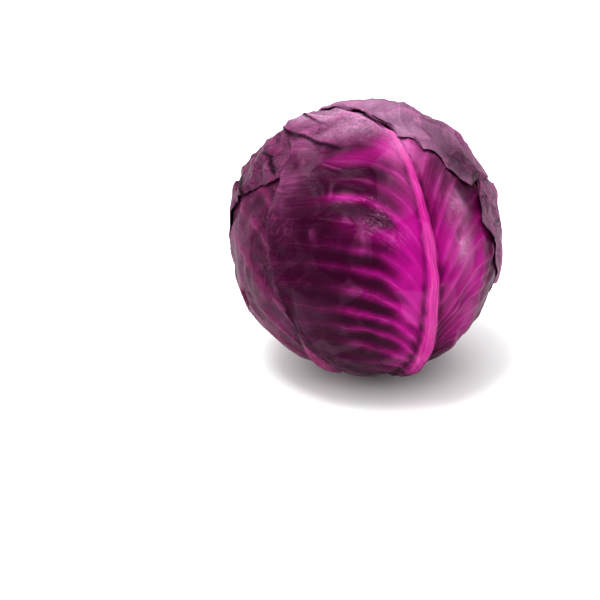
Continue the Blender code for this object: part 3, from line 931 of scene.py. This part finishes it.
    def build(self, ground: Ground, effects: Effects) -> bpy.types.Object:
        """Lays the leaf on the ground, closes its margin, dresses it and adds it to the ground.

        Args:
            ground: What it lies on, which is then raised to the leaf.
            effects: The shared shader groups.

        Returns:
            The leaf.
        """
        g = self.grid()
        side = np.where(np.arange(g["x"].shape[1]) < g["x"].shape[1] // 2, -1.0, 1.0) + 0 * g["x"]
        x, y, out, along = g["x"], g["y"], g["out"], g["along"]
        x = x + smooth_curve(self.rib_bend, y) * np.exp(-((x / 26.0) ** 2))
        directions = self.chart.directions(x, y)
        places = directions * CENTRE_HEIGHT
        phase = self.vein_phase(g, side)
        spacing = self.vein_spacing(places, phase)
        rng = np.random.default_rng(self.seed + 50)
        strengths = np.array(self.strengths or rng.uniform(0.25, 1.0, len(self.veins) + 3))
        strength = np.interp(phase, np.arange(len(strengths)), strengths) * eased(-0.02, 0.06, out)
        strength = strength * np.where(side > 0, self.right_veins, 1.0)

        inner, outer, marks = self.surfaces(g, x, y, directions, places, phase, spacing, ground)
        obj = self.skin(directions, inner, outer)
        ground.lay(directions, outer)

        # painted shadow: a dark line in each crease and round the margin where it lies over the leaf below
        crease_shadows = sum((fold.shadow(x, y) for fold in self.folds), np.zeros_like(x))
        edge = np.clip(eased(0.993, 1.0, out) * 0.9 + crease_shadows, 0.0, 0.95)
        tone = self.tone
        rumpled = np.clip(tone.even_crinkle + painted(self.rumples, x, y) / 0.0009, 0.0, 1.0)
        glow = tone.even_glow + painted(tone.glow, x, y)
        shade = np.clip(painted(tone.shade, x, y), 0.0, 0.97)
        dust = np.clip(tone.even_dust + painted(tone.dust, x, y), 0.0, 0.95)
        wax_and_sheen = np.clip(tone.even_wax + painted(tone.wax_and_sheen, x, y), 0.0, 0.95)
        scuff = np.clip(painted(tone.scuff, x, y), 0.0, 0.9)
        for name, values in (("relief", (marks["relief"], marks["pane_shading"], rumpled)),
                             ("veins", (phase, spacing * 1000.0, strength)), ("blade", (out, marks["rib"], edge)),
                             ("tone", (glow, shade, dust)), ("skin", (wax_and_sheen, scuff, marks["seams"])),
                             ("ribbing", (side * marks["aside"], along, 0 * x))):
            Maker.attribute(obj, name, [np.concatenate([v.ravel(), v.ravel()]) for v in values])
        across = 0.5 + 0.5 * side * out
        Maker.map_corners(obj, np.concatenate([across.ravel(), across.ravel()]),
                          np.concatenate([along.ravel(), along.ravel()]))
        obj.data.materials.append(self.finish.make(self.piece.value, effects))
        LOG.info("%s: %d points", self.piece.value, len(obj.data.vertices))
        return obj

    def vein_spacing(self, places: Grid, phase: Grid) -> Grid:
        """Distance between neighbouring side veins: the step across the rows, for each whole count, in metres."""
        down = np.gradient(places, axis=0)
        over = unit(np.gradient(places, axis=1))
        step = np.linalg.norm(np.cross(down, over), axis=-1)
        return blurred(np.clip(step / np.maximum(np.gradient(phase, axis=0), 1e-4), 0.0006, 0.05), 2)

    def surfaces(self, g: dict[str, Grid], x: Grid, y: Grid, directions: Grid, places: Grid, phase: Grid,
                 spacing: Grid, ground: Ground) -> tuple[Grid, Grid, dict[str, Grid]]:
        """The leaf's inner and outer distances from the centre.

        The inner one is the bridged ground, eased, with the leaf's own waves, swellings and curls. The outer one adds
        the blade, the midrib, a rounded ridge with grooves, the side veins and the panes between them.

        Args:
            g: The grid's shares.
            x: Places to the right.
            y: Places towards the tip.
            directions: The directions of the places.
            places: The same on a ball of the head's size.
            phase: The side veins' count.
            spacing: The distance between them.
            ground: What the leaf lies on.

        Returns:
            Inner and outer distances, and at each place how much it is midrib, how many half-widths it is aside of
            the midrib, how near it is to a seam between panes, its pane's painted light and shade, and its relief, from
            minus one in a hollow to one on a ridge.
        """
        out, along = g["out"], g["along"]
        bare = ground.under(directions)
        pressed = eased(0.80, 0.97, out)
        sheet = blurred((1 - pressed) * ground.bridged(directions) + pressed * bare, 8) + self.GAP
        warp = places + 0.004 * np.stack([ripples(places, 0.03, self.seed + k) for k in (11, 12, 13)], -1)
        uneven = 0.00035 * (ripples(warp, 0.045, self.seed) + 0.5) + self.crumple * ripples(warp, 0.012, self.seed + 3)
        sharp = np.clip(1.0 - np.abs(ripples(warp, 0.030, self.seed + 31)), 0.0, 1.0) ** 2
        sharp += 0.4 * np.clip(1.0 - np.abs(ripples(warp, 0.014, self.seed + 32)), 0.0, 1.0) ** 2
        uneven += painted(self.rumples, x, y) * sharp
        edge = np.clip((out - 0.7) / 0.3, 0.0, 1.0) ** 1.5 * eased(0.10, 0.28, along)
        turns = 11.0 * np.pi * along + self.wave_phase
        waves = self.wave * edge * (0.5 + 0.5 * np.sin(turns) * np.cos(0.6 * turns + self.wave_phase))
        flutter = 0.00022 * edge * (1.0 + ripples(places, 0.011, self.seed + 7))
        raised = self.lift * np.clip((out - 0.93) / 0.07, 0.0, 1.0) ** 1.6 * eased(0.08, 0.2, along)
        curl = painted(self.curls, x, y) * np.clip((out - 0.80) / 0.20, 0.0, 1.0) ** 1.8
        swell = painted(self.swell, x, y)
        inner = sheet + np.maximum(uneven, 0.0) * (1 - 0.6 * pressed) + waves + flutter + raised + curl + swell
        inner += sum((fold.relief(x, y) for fold in self.folds), np.zeros_like(x))
        inner = blurred(np.maximum(inner, bare + self.CLEAR), 1)

        reach = np.radians(np.hypot(x, y))
        aside = np.radians(np.abs(g["x"])) * CENTRE_HEIGHT * np.sinc(reach / np.pi)
        shares, widths, heights = zip(*self.RIB_STATIONS)
        half_width = smooth_curve(tuple(zip(shares, widths)), along)
        q = aside / half_width
        rounded = np.cos(0.5 * np.pi * np.clip(q / 1.35, 0.0, 1.0)) ** 1.5
        grooves = 1.0 + 0.07 * np.cos(2 * np.pi * q * 1.9) * eased(0.0, 0.3, q)
        midrib = self.rib * smooth_curve(tuple(zip(shares, heights)), along) * rounded * grooves
        rib = eased(1.25, 0.55, q) * eased(1.0, 0.72, along)
        seams, leaning, pane_shading = facets(warp, self.pane_size, self.seed + 21)

        distance = np.abs(phase - np.round(phase)) * spacing
        width = np.minimum(0.0014 - 0.0006 * out, 0.34 * spacing)
        standing = (1.0 - out) ** 1.2 * eased(0.0, 0.1, out) * eased(1.0, 0.85, along) * eased(0.0, 0.08, along)
        ridges = 0.0007 * standing * np.exp(-((distance / width) ** 2)) * np.clip(spacing / 0.004, 0.25, 1.0)
        panes = (self.pane_height * seams + self.pane_lean * (leaning + 0.6)) * eased(1.0, 2.5, q)
        thin = self.BLADE + (self.MARGIN - self.BLADE) * out**2
        rim = np.sqrt(np.clip(1.0 - (np.clip((out - 0.982) / 0.018, 0.0, 1.0)) ** 2, 0.04, 1.0))
        ends = np.sqrt(np.clip(1.0 - eased(0.988, 1.0, along) ** 2, 0.04, 1.0))
        outer = inner + (thin + midrib + ridges + panes * eased(1.0, 0.9, out)) * rim * ends
        limit = (CENTRE_HEIGHT - self.FLOOR_GAP) / np.maximum(-directions[..., 2], 1e-3)
        outer = (outer**-90.0 + limit**-90.0) ** (-1 / 90.0)
        inner = np.minimum(inner, outer - 0.0003 * rim * ends)
        relief = np.clip((outer - blurred(outer, 20)) / 0.0007, -1.0, 1.0)
        return inner, outer, {"rib": rib, "aside": q, "seams": seams, "pane_shading": pane_shading, "relief": relief}

    def skin(self, directions: Grid, inner: Grid, outer: Grid) -> bpy.types.Object:
        """The outer face, the inner face turned over, and a strip round the margin that joins them."""
        rows, columns = inner.shape
        points = np.vstack([(CENTRE + directions * outer[..., None]).reshape(-1, 3),
                            (CENTRE + directions * inner[..., None]).reshape(-1, 3)])
        outside = Maker.quads(rows, columns)
        inside = outside[:, ::-1] + rows * columns
        index = np.arange(rows * columns).reshape(rows, columns)
        loop = np.concatenate([index[0, :-1], index[:-1, -1], index[-1, :0:-1], index[:0:-1, 0]])
        after = np.roll(loop, -1)
        strip = np.stack([loop, loop + rows * columns, after + rows * columns, after], -1)
        return Maker.piece(self.piece, points, [outside, inside, strip])


# Innermost first, in the order in which they close round the heart
DARK = LeafFinish(deep=srgb(34, 2, 24), blade=srgb(78, 12, 56), stripe=srgb(96, 20, 66), vivid=srgb(110, 22, 78),
                  crest=srgb(140, 54, 102),
                  rib=srgb(134, 40, 90), dust=srgb(104, 58, 88), wax_and_sheen=srgb(140, 96, 128), glow_share=0.7, glow_width=0.3,
                  network_share=0.11, seam_share=0.08, pane_shading_share=0.08, ridge_highlight_share=0.25, hollow_shade_share=0.22,
                  roughness=0.40)
LEAVES: tuple[WrapperLeaf, ...] = (
    WrapperLeaf(
        Piece.BACK, Chart(107, 78),
        left=((0, 66), (-40, 72), (-75, 74), (-110, 70), (-140, 69), (-160, 78)),
        right=((0, 66), (40, 72), (75, 74), (110, 70), (140, 69), (160, 78)),
        finish=DARK, tone=Tone(even_glow=0.5, even_dust=0.15, even_wax=0.08, even_crinkle=0.35),
        rib=0.55, wave_phase=0.3, rows=160, blade_columns=60, rib_columns=10, seed=3),
    WrapperLeaf(
        Piece.LEFT, Chart(-117, 84),
        left=((0, 72), (-40, 76), (-75, 78), (-110, 76), (-140, 76), (-160, 82)),
        right=((0, 72), (40, 74), (75, 70), (110, 67), (140, 68), (160, 78)),
        finish=DARK, tone=Tone(even_glow=0.35, even_dust=0.15, even_wax=0.06, even_crinkle=0.5,
                               shade=(Patch(-22, 10, 10, 30, 0.7),)),
        rib=0.6, wave_phase=1.1, rows=160, blade_columns=64, rib_columns=10, seed=5),
    WrapperLeaf(
        Piece.RIGHT, Chart(20, 84),
        left=((0, 72), (-40, 74), (-75, 72), (-110, 74), (-140, 76), (-160, 82)),
        right=((0, 72), (40, 76), (75, 74), (110, 68), (140, 68), (160, 78)),
        finish=DARK, tone=Tone(even_glow=0.45, even_dust=0.15, even_wax=0.08, even_crinkle=0.35),
        rib=0.6, wave_phase=2.0, rows=160, blade_columns=60, rib_columns=10, seed=7),
    WrapperLeaf(
        Piece.SHOULDER, Chart(145, 60),
        left=((0, 66), (-40, 70), (-75, 68), (-110, 66), (-140, 70), (-160, 82)),
        right=((0, 66), (22, 65), (45, 62), (60, 59), (73, 50), (92, 42), (115, 42), (135, 49), (155, 70)),
        finish=DARK, tone=Tone(even_glow=0.35, even_dust=0.5, even_wax=0.14, even_crinkle=0.4,
                               shade=(Patch(46, 10, 6, 30, 0.5), Patch(33, 14, 9, 10, 0.5))),
        rib=0.8, wave_phase=0.8, lift=0.0002, crumple=0.0005,
        pane_lean=0.0004, pane_height=0.0004, pane_size=0.014,
        swell=(Patch(14, 8, 14, 20, 0.0014),),
        folds=(Fold(((47, 27), (36, 24), (26, 14)), 0.0022, 5.0), Fold(((44, 4), (34, 2), (24, -6)), 0.0018, 4.5)),
        rumples=(Patch(30, 14, 24, 30, 0.0009),), rows=190, blade_columns=78, seed=11),
    WrapperLeaf(
        Piece.FRONT, Chart(-63, 80),
        left=((0, 101), (-20, 103), (-28, 97), (-36, 80), (-45, 75), (-70, 72), (-90, 67), (-125, 66), (-155, 72)),
        right=((0, 101), (30, 84), (60, 74), (90, 62), (110, 52), (130, 48), (150, 50), (164, 62)),
        finish=LeafFinish(),
        tone=Tone(
            even_glow=0.05, even_wax=0.0,
            glow=(Patch(-6, -6, 9, 40, 0.95), Patch(11, 2, 11, 42, 0.65), Patch(29, 2, 10, 26, 0.55),
                  Patch(26, -12, 8, 14, 0.4), Patch(23, -38, 9, 14, 0.6),
                  Patch(-20, 52, 18, 7, 0.5), Patch(-6, -55, 12, 16, 0.4), Patch(-34, 31, 14, 2.5, 0.45),
                  Patch(2, 55, 10, 16, 0.6), Patch(-20, 12, 14, 7, 0.35), Patch(-24, -4, 14, 28, 0.38)),
            # darker pigment between the side veins, with painted shade at the foot and along the left rim
            shade=(Patch(-37, 38, 16, 6, 0.9), Patch(-18, 41, 8, 5, 0.8), Patch(-38, 25, 16, 5, 0.95),
                   Patch(-17, 19, 7, 4, 0.8), Patch(-42, 10, 16, 5, 0.95), Patch(-24, 5, 10, 5, 0.8, 25),
                   Patch(-42, -2, 16, 6, 0.9), Patch(-24, -7, 9, 4, 0.6, 25), Patch(-36, -13, 14, 6, 0.95),
                   Patch(-22, -17, 8, 5, 0.9, 35), Patch(-32, -24, 14, 7, 0.9), Patch(-26, -36, 14, 8, 0.9),
                   Patch(-22, -52, 14, 10, 0.8),
                   Patch(-62, 8, 9, 28, 0.95), Patch(16, 38, 6, 6, 0.7), Patch(26, 27, 6, 9, 0.5),
                   Patch(44, -8, 5, 12, 0.5), Patch(4, -66, 12, 7, 0.6), Patch(-30, 7, 8, 5, 0.5),
                   Patch(2, -76, 34, 12, 0.97), Patch(36, -56, 10, 16, 0.4), Patch(-48, 56, 5, 8, 0.5)),
            dust=(Patch(1, 50, 7, 16, 0.4), Patch(-34, 74, 22, 10, 0.45), Patch(-62, 34, 7, 22, 0.35),
                  Patch(-52, 44, 8, 8, 0.4), Patch(-46, 62, 9, 8, 0.5), Patch(34, -36, 12, 24, 0.35),
                  Patch(16, 38, 7, 7, 0.5)),
            # wax bloom, with painted sheen beside the rib and a painted highlight along the top
            wax_and_sheen=(Patch(18, 19, 6, 8, 0.48), Patch(17, 3, 5, 6, 0.58), Patch(-14, 88, 28, 10, 0.95),
                 Patch(-22, 67, 20, 6, 0.3), Patch(-4, 73, 12, 8, 0.55), Patch(3, 56, 6, 10, 0.35)),
            scuff=(Patch(-20, 20, 7, 4, 0.26, 25), Patch(-12, 12, 5, 3, 0.2, 25), Patch(-24, 30, 8, 0.8, 0.25))),
        veins=vein_places(start=0.03, step=0.038, even=6, growth=1.115, count=16),
        strengths=(0.4, 0.3, 0.5, 0.5, 0.6, 0.7, 0.8, 1.0, 1.0, 0.6, 0.5, 0.9, 0.3, 0.4, 0.3, 0.2, 0.1, 0.1),
        right_veins=0.45,
        rib_bend=((-90, 7.5), (-60, 5.5), (-30, 2), (0, 1), (30, 0.5), (55, 2), (80, 1.5)),
        wave=0.0005, wave_phase=2.6, lift=0.0006, pane_height=0.0001, pane_lean=0.0001,
        detail=((-60, 73), (-50, 74.5), (-44, 75), (-40, 77), (-37, 82), (-34, 90), (-31, 97), (-27, 101), (-22, 103),
                (-16, 102), (-10, 101)),
        rumples=(Patch(-38, 76, 12, 14, 0.0004), Patch(-62, 38, 6, 30, 0.0004), Patch(36, -44, 10, 20, 0.0002)),
        folds=(Fold(((-60, 92), (-50, 80), (-43, 70), (-34, 61), (-26, 58), (-17, 58)), 0.0022, 5.0),
               Fold(((-47, 98), (-35, 96), (-32, 83), (-25, 75)), 0.0012, 5.0)),
        rows=226, blade_columns=88, rib_columns=16, seed=13),
    WrapperLeaf(
        Piece.CROWN, Chart(58, 75),
        left=((0, 80), (-22, 84), (-36, 86), (-50, 84), (-60, 79), (-71, 83), (-84, 79), (-105, 78),
              (-130, 70), (-155, 72)),
        right=((0, 80), (22, 75), (45, 76), (75, 78), (105, 74), (130, 68), (155, 72)),
        detail=((-104, 77), (-95, 80), (-87, 77), (-78, 80), (-72, 83), (-65, 77), (-59, 66), (-57, 79), (-50, 81),
                (-39, 82), (-27, 82), (-20, 82), (-14, 79), (-4, 77), (16, 75)),
        tip_height=4.5,
        finish=LeafFinish(deep=srgb(48, 10, 34), blade=srgb(98, 52, 84), vivid=srgb(128, 60, 102),
                          crest=srgb(184, 106, 150), rib=srgb(146, 64, 108), dust=srgb(128, 92, 120),
                          wax_and_sheen=srgb(184, 150, 176), edge=srgb(26, 6, 20), glow_share=0.6, crest_share=0.5,
                          crest_width=0.6, glow_width=0.3, network_share=0.1, seam_share=0.14, pane_shading_share=0.12,
                          ridge_highlight_share=0.25, hollow_shade_share=0.14, roughness=0.42),
        tone=Tone(even_glow=0.6, even_dust=0.14, even_wax=0.15, even_crinkle=0.12,
                  # painted shade where the crown turns from the light, with darker pigment between its veins
                  shade=(Patch(-52, 48, 13, 16, 0.95), Patch(-66, 26, 12, 18, 0.5), Patch(-76, -2, 7, 20, 0.3),
                         Patch(-47, 44, 9, 9, 0.5), Patch(-30, 54, 12, 10, 0.4), Patch(-8, 54, 10, 8, 0.3),
                         Patch(-20, 70, 7, 6, 0.3)),
                  dust=(Patch(-5, 60, 26, 14, 0.4),),
                  # bloom, with the crown's top painted lighter as a highlight
                  wax_and_sheen=(Patch(4, 68, 26, 9, 0.22), Patch(-30, 70, 12, 8, 0.36))),
        rib=0.8, wave=0.0003, wave_phase=0.0, lift=0.0002, crumple=0.0004,
        pane_height=0.0004, pane_lean=0.0005, pane_size=0.019,
        rumples=(Patch(-66, 26, 12, 34, 0.0008), Patch(-40, 46, 14, 12, 0.0003)),
        curls=(Patch(-63, 43, 4, 5, 0.0022), Patch(-72, 30, 4, 6, 0.0014), Patch(-78, 14, 5, 12, 0.0006)),
        folds=(Fold(((-70, 40), (-60, 42), (-52, 36)), 0.0016, 3.5),
               Fold(((-78, 10), (-70, 14), (-62, 8)), 0.0012, 3.0)),
        rows=216, blade_columns=84, seed=17),
)


@dataclass(frozen=True)
class Heart:
    """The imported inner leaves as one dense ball, which carries the steps of the leaves pressed round it."""

    foot_height: float = 0.0085
    foot_sharpness: float = 14.0
    layer_depth: float = 0.0023
    layer_fade: float = 9.0
    rows: int = 120
    columns: int = 180
    finish: LeafFinish = DARK

    def radius(self, directions: Grid) -> Grid:
        """The head's outline less the leaves that cover each direction, eased into a flat foot.

        The two distances are joined by the root of their summed inverse powers.
        """
        polar = np.degrees(np.arccos(np.clip(directions[..., 2], -1.0, 1.0)))
        over = np.zeros(directions.shape[:-1])
        for leaf in LEAVES:
            reach, bearing = leaf.chart.reach_and_bearing(directions)
            over += np.clip((smooth_curve(leaf.outline(), bearing) - reach) / self.layer_fade, 0.0, 1.0)
        egg = smooth_curve(HEAD_PROFILE, polar) - self.layer_depth * over
        foot = (CENTRE_HEIGHT - self.foot_height) / np.maximum(-directions[..., 2], 1e-3)
        return (egg**-self.foot_sharpness + foot**-self.foot_sharpness) ** (-1 / self.foot_sharpness)

    def build(self, ground: Ground, effects: Effects) -> bpy.types.Object:
        """A ball of rows of latitude closed at both poles, with the innermost leaves' ribs and veins in low relief.

        Args:
            ground: Raised to the heart.
            effects: The shared shader groups.

        Returns:
            The heart.
        """
        cells = ground.cells()
        ground.reach = self.radius(cells)
        polar = np.linspace(np.pi, 0.0, self.rows)[1:-1, None]
        turn = np.linspace(0.0, 2 * np.pi, self.columns, endpoint=False)[None, :]
        directions = np.stack([np.sin(polar) * np.cos(turn), np.sin(polar) * np.sin(turn),
                               np.cos(polar) + 0 * turn], -1)
        leaves = 5.0
        lean = turn * leaves / (2 * np.pi) + 0.35 * np.cos(polar)
        near = np.abs(lean - np.round(lean)) * 2 * np.pi / leaves * np.sin(polar) * 0.06
        rib = np.exp(-((near / 0.0022) ** 2)) * eased(0.6, 2.6, polar + 0 * turn)
        phase = 9.0 * (polar / np.pi) + 2.2 * np.abs(lean - np.round(lean))
        veins = np.exp(-((np.abs(phase - np.round(phase)) / 0.12) ** 2)) * np.sin(polar)
        radius = self.radius(directions) - 0.0005 + 0.0004 * rib + 0.00015 * veins
        bottom, top = (float(self.radius(np.array([0.0, 0.0, z]))) - 0.0005 for z in (-1.0, 1.0))
        points = np.vstack([(CENTRE + directions * radius[..., None]).reshape(-1, 3),
                            CENTRE - [0, 0, bottom], CENTRE + [0, 0, top]])
        rows = self.rows - 2
        first = np.arange(self.columns)
        last = first + (rows - 1) * self.columns
        south, north = np.full(self.columns, rows * self.columns), np.full(self.columns, rows * self.columns + 1)
        caps = np.vstack([np.stack([south, np.roll(first, -1), first], -1),
                          np.stack([north, last, np.roll(last, -1)], -1)])
        obj = Maker.piece(Piece.HEART, points, [Maker.quads(rows, self.columns, closed=True), caps])
        count = len(points)
        wide = [np.append(v.ravel(), [0.0, 0.0]) for v in
                (phase, 0 * phase + 8.0, 0 * phase + 0.8, 0.4 + 0 * phase, rib, 0.4 + 0.3 * rib)]
        for name, values in (("relief", (np.zeros(count), np.full(count, 0.5), np.full(count, 0.4))),
                             ("veins", wide[:3]), ("blade", (wide[3], wide[4], np.zeros(count))),
                             ("tone", (wide[5], np.zeros(count), np.full(count, 0.1))),
                             ("skin", (np.full(count, 0.15), np.zeros(count), np.zeros(count))),
                             ("ribbing", (wide[4] * 2.0, wide[0] * 0.1, np.zeros(count)))):
            Maker.attribute(obj, name, list(values))
        Maker.map_corners(obj, np.append((lean + 0 * polar).ravel(), [0, 0]),
                          np.append((polar / np.pi + 0 * turn).ravel(), [1, 0]))
        obj.data.materials.append(self.finish.make(Piece.HEART.value, effects))
        LOG.info("heart: %d points", count)
        return obj


@dataclass(frozen=True)
class StalkFinish:
    """Cut cabbage stalk: pale moist pith, a ring of woody strands and a tougher purple-green rind."""

    pith: Colour = srgb(236, 228, 206)
    wood: Colour = srgb(206, 190, 150)
    rind: Colour = srgb(168, 120, 146)
    scar: Colour = srgb(134, 104, 84)

    def make(self, radius: float) -> bpy.types.Material:
        """Builds the material from the distance to the stalk's axis and noise.

        Args:
            radius: The stalk's radius in metres.

        Returns:
            The material.
        """
        material = bpy.data.materials.new("stalk")
        material.use_nodes = True
        w = Wiring(material.node_tree)
        place = w.add("ShaderNodeTexCoord").outputs["Object"]
        parts = w.add("ShaderNodeSeparateXYZ")
        w.put(parts.inputs[0], place)
        away = w.sum("SQRT", w.sum("ADD", w.sum("MULTIPLY", parts.outputs[0], parts.outputs[0]),
                                   w.sum("MULTIPLY", parts.outputs[1], parts.outputs[1])))
        share = w.sum("ADD", w.sum("DIVIDE", away, radius),
                      w.sum("MULTIPLY", w.sum("SUBTRACT", w.noise(place, 260.0), 0.5), 0.10))
        ring = w.sum("MULTIPLY", w.ramp(share, 0.66, 0.74), w.ramp(share, 0.86, 0.80))
        strands = w.ramp(w.noise(place, 1100.0, 3.0, 0.7), 0.42, 0.60)
        woody = w.sum("MULTIPLY", ring, w.sum("ADD", 0.35, w.sum("MULTIPLY", strands, 0.65)))
        colour = w.mix(woody, self.pith, self.wood)
        colour = w.mix(w.ramp(share, 0.90, 0.97), colour, self.rind)
        worn = w.ramp(w.noise(place, 180.0, 4.0, 0.65), 0.52, 0.70, 0.0, 0.55)
        colour = w.mix(worn, colour, self.scar)
        bump = w.add("ShaderNodeBump")
        bump.inputs["Strength"].default_value = 0.7
        bump.inputs["Distance"].default_value = 0.0005
        w.put(bump.inputs["Height"], w.sum("ADD", strands, w.noise(w.stretch(place, (900.0, 900.0, 120.0)), 1.0)))
        shader = material.node_tree.nodes["Principled BSDF"]
        w.put(shader.inputs["Base Color"], colour)
        w.put(shader.inputs["Roughness"], w.ramp(strands, 0.0, 1.0, 0.48, 0.66))
        w.put(shader.inputs["Normal"], bump.outputs[0])
        return material


@dataclass(frozen=True)
class Stalk:
    """The cut stalk that the head stands on: a profile turned round the vertical, with leaf scars in its side."""

    radius: float = 0.0155
    waist: float = 0.0148
    top: float = 0.0093
    columns: int = 144
    finish: StalkFinish = field(default_factory=StalkFinish)

    def build(self) -> bpy.types.Object:
        """Carries the profile round: cut face from its middle out, bevel, side and top, closed at both middles.

        The cut face sinks a little between its pith and its ring, and the side swells round each leaf scar.
        """
        face = np.linspace(0.04, 0.93, 26)
        side = np.linspace(0.0, 1.0, 20)
        dish = 0.00035 * np.sin(np.pi * np.clip(face / 0.72, 0, 1)) ** 2
        bow = self.waist + (self.radius - self.waist) * (2 * side - 1) ** 2
        radii = np.concatenate([face * self.radius, [0.955 * self.radius, 0.98 * self.radius], bow,
                                np.linspace(0.9, 0.05, 6) * self.radius])
        heights = np.concatenate([dish, [0.0002, 0.0006], 0.001 + (self.top - 0.001) * side, np.full(6, self.top)])
        turn = np.linspace(0.0, 2 * np.pi, self.columns, endpoint=False)
        on_side = np.zeros(len(radii))
        on_side[28:48] = np.sin(np.pi * side)
        scars = (0.5 + 0.5 * np.cos(5 * turn[None, :] + 260.0 * heights[:, None])) ** 3
        fibres = np.sin(47 * turn)[None, :] + np.sin(83 * turn + 1.3)[None, :]
        reach = radii[:, None] - on_side[:, None] * (0.0005 * scars + 0.00005 * (fibres + 2.0))
        points = np.stack([reach * np.cos(turn), reach * np.sin(turn), heights[:, None] + 0 * reach], -1).reshape(-1, 3)
        rows = len(radii)
        points = np.vstack([points, [0, 0, 0.0], [0, 0, self.top]])
        first = np.arange(self.columns)
        last = first + (rows - 1) * self.columns
        low, high = np.full(self.columns, rows * self.columns), np.full(self.columns, rows * self.columns + 1)
        caps = np.vstack([np.stack([low, np.roll(first, -1), first], -1),
                          np.stack([high, last, np.roll(last, -1)], -1)])
        obj = Maker.piece(Piece.STALK, points, [Maker.quads(rows, self.columns, closed=True), caps])
        obj.data.materials.append(self.finish.make(self.radius))
        LOG.info("stalk: %d points", len(points))
        return obj


@dataclass(frozen=True)
class Studio:
    """A plain pale floor, soft light from above and the left, and the camera."""

    distance: float = 0.919
    lens: float = 100.0
    sensor: float = 36.0
    elevation: float = 22.0
    aside: float = -0.0355
    below: float = -0.0344
    floor_side: float = 14.0

    def floor(self) -> bpy.types.Object:
        """A wide sheet just under the stalk, faintly uneven in tone."""
        half = self.floor_side / 2
        mesh = bpy.data.meshes.new("floor")
        mesh.from_pydata([(-half, -half, 0), (half, -half, 0), (half, half, 0), (-half, half, 0)], [], [(0, 1, 2, 3)])
        obj = bpy.data.objects.new("floor", mesh)
        bpy.context.scene.collection.objects.link(obj)
        material = bpy.data.materials.new("floor")
        material.use_nodes = True
        w = Wiring(material.node_tree)
        shader = material.node_tree.nodes["Principled BSDF"]
        tone = w.noise(w.add("ShaderNodeTexCoord").outputs["Object"], 3.0)
        w.put(shader.inputs["Base Color"], w.mix(tone, (0.93, 0.93, 0.93, 1.0), (0.95, 0.95, 0.95, 1.0)))
        shader.inputs["Roughness"].default_value = 0.9
        shader.inputs["Specular IOR Level"].default_value = 0.1
        mesh.materials.append(material)
        return obj

    def light(self, name: str, kind: str, power: float, place: tuple[float, float, float], size: float) -> None:
        """Hangs a lamp that points at the head.

        Args:
            name: The lamp's name.
            kind: AREA or SUN.
            power: Watts, or the sun's strength.
            place: Where it hangs, in metres.
            size: The area's side in metres, or the sun's angle in degrees.
        """
        data = bpy.data.lights.new(name, kind)
        data.energy = power
        if kind == "AREA":
            data.size = size
        else:
            data.angle = math.radians(size)
        lamp = bpy.data.objects.new(name, data)
        lamp.matrix_world = self.facing(np.array(place), CENTRE)
        bpy.context.scene.collection.objects.link(lamp)

    @staticmethod
    def facing(place: Grid, target: Grid) -> Matrix:
        """The matrix that puts a camera or lamp at a place, looks at the target and keeps its sides level."""
        back = unit(place - target)
        right = unit(np.cross([0.0, 0.0, 1.0], back))
        matrix = np.eye(4)
        matrix[:3, :4] = np.stack([right, np.cross(back, right), back, place], -1)
        return Matrix(matrix.tolist())

    def camera(self) -> None:
        """Sets the camera at the photograph's angle, turned so that the head stands right of and above the middle."""
        rise = math.radians(self.elevation)
        away = np.array([0.0, -math.cos(rise), math.sin(rise)])
        up = np.array([0.0, math.sin(rise), math.cos(rise)])
        place = CENTRE + self.distance * away
        data = bpy.data.cameras.new("camera")
        data.lens, data.sensor_width = self.lens, self.sensor
        obj = bpy.data.objects.new("camera", data)
        obj.matrix_world = self.facing(place, CENTRE + [self.aside, 0, 0] + self.below * up)
        bpy.context.scene.collection.objects.link(obj)
        bpy.context.scene.camera = obj

    def set(self) -> None:
        """Sets floor, lights, surroundings and camera."""
        self.floor()
        self.light("softbox above", "AREA", 13.0, (-0.30, -0.30, 1.30), 0.55)
        self.light("softbox right", "AREA", 2.5, (1.0, -1.1, 0.9), 0.5)
        self.light("even daylight", "SUN", 2.6, (-0.5, -0.5, 2.0), 100.0)
        world = bpy.data.worlds.new("white room")
        world.use_nodes = True
        world.node_tree.nodes["Background"].inputs["Color"].default_value = (1.0, 1.0, 1.0, 1.0)
        world.node_tree.nodes["Background"].inputs["Strength"].default_value = 0.42
        bpy.context.scene.world = world
        bpy.context.scene.view_settings.view_transform = "Standard"
        bpy.context.scene.view_settings.look = "Medium High Contrast"
        self.camera()


def main() -> None:
    """Builds the head from the heart outwards, and the studio, and notes the sizes."""
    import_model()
    Studio().set()
    effects, ground = Effects(), Ground()
    Heart().build(ground, effects)
    Stalk().build()
    for leaf in LEAVES:
        leaf.build(ground, effects)


if __name__ == "__main__":
    main()
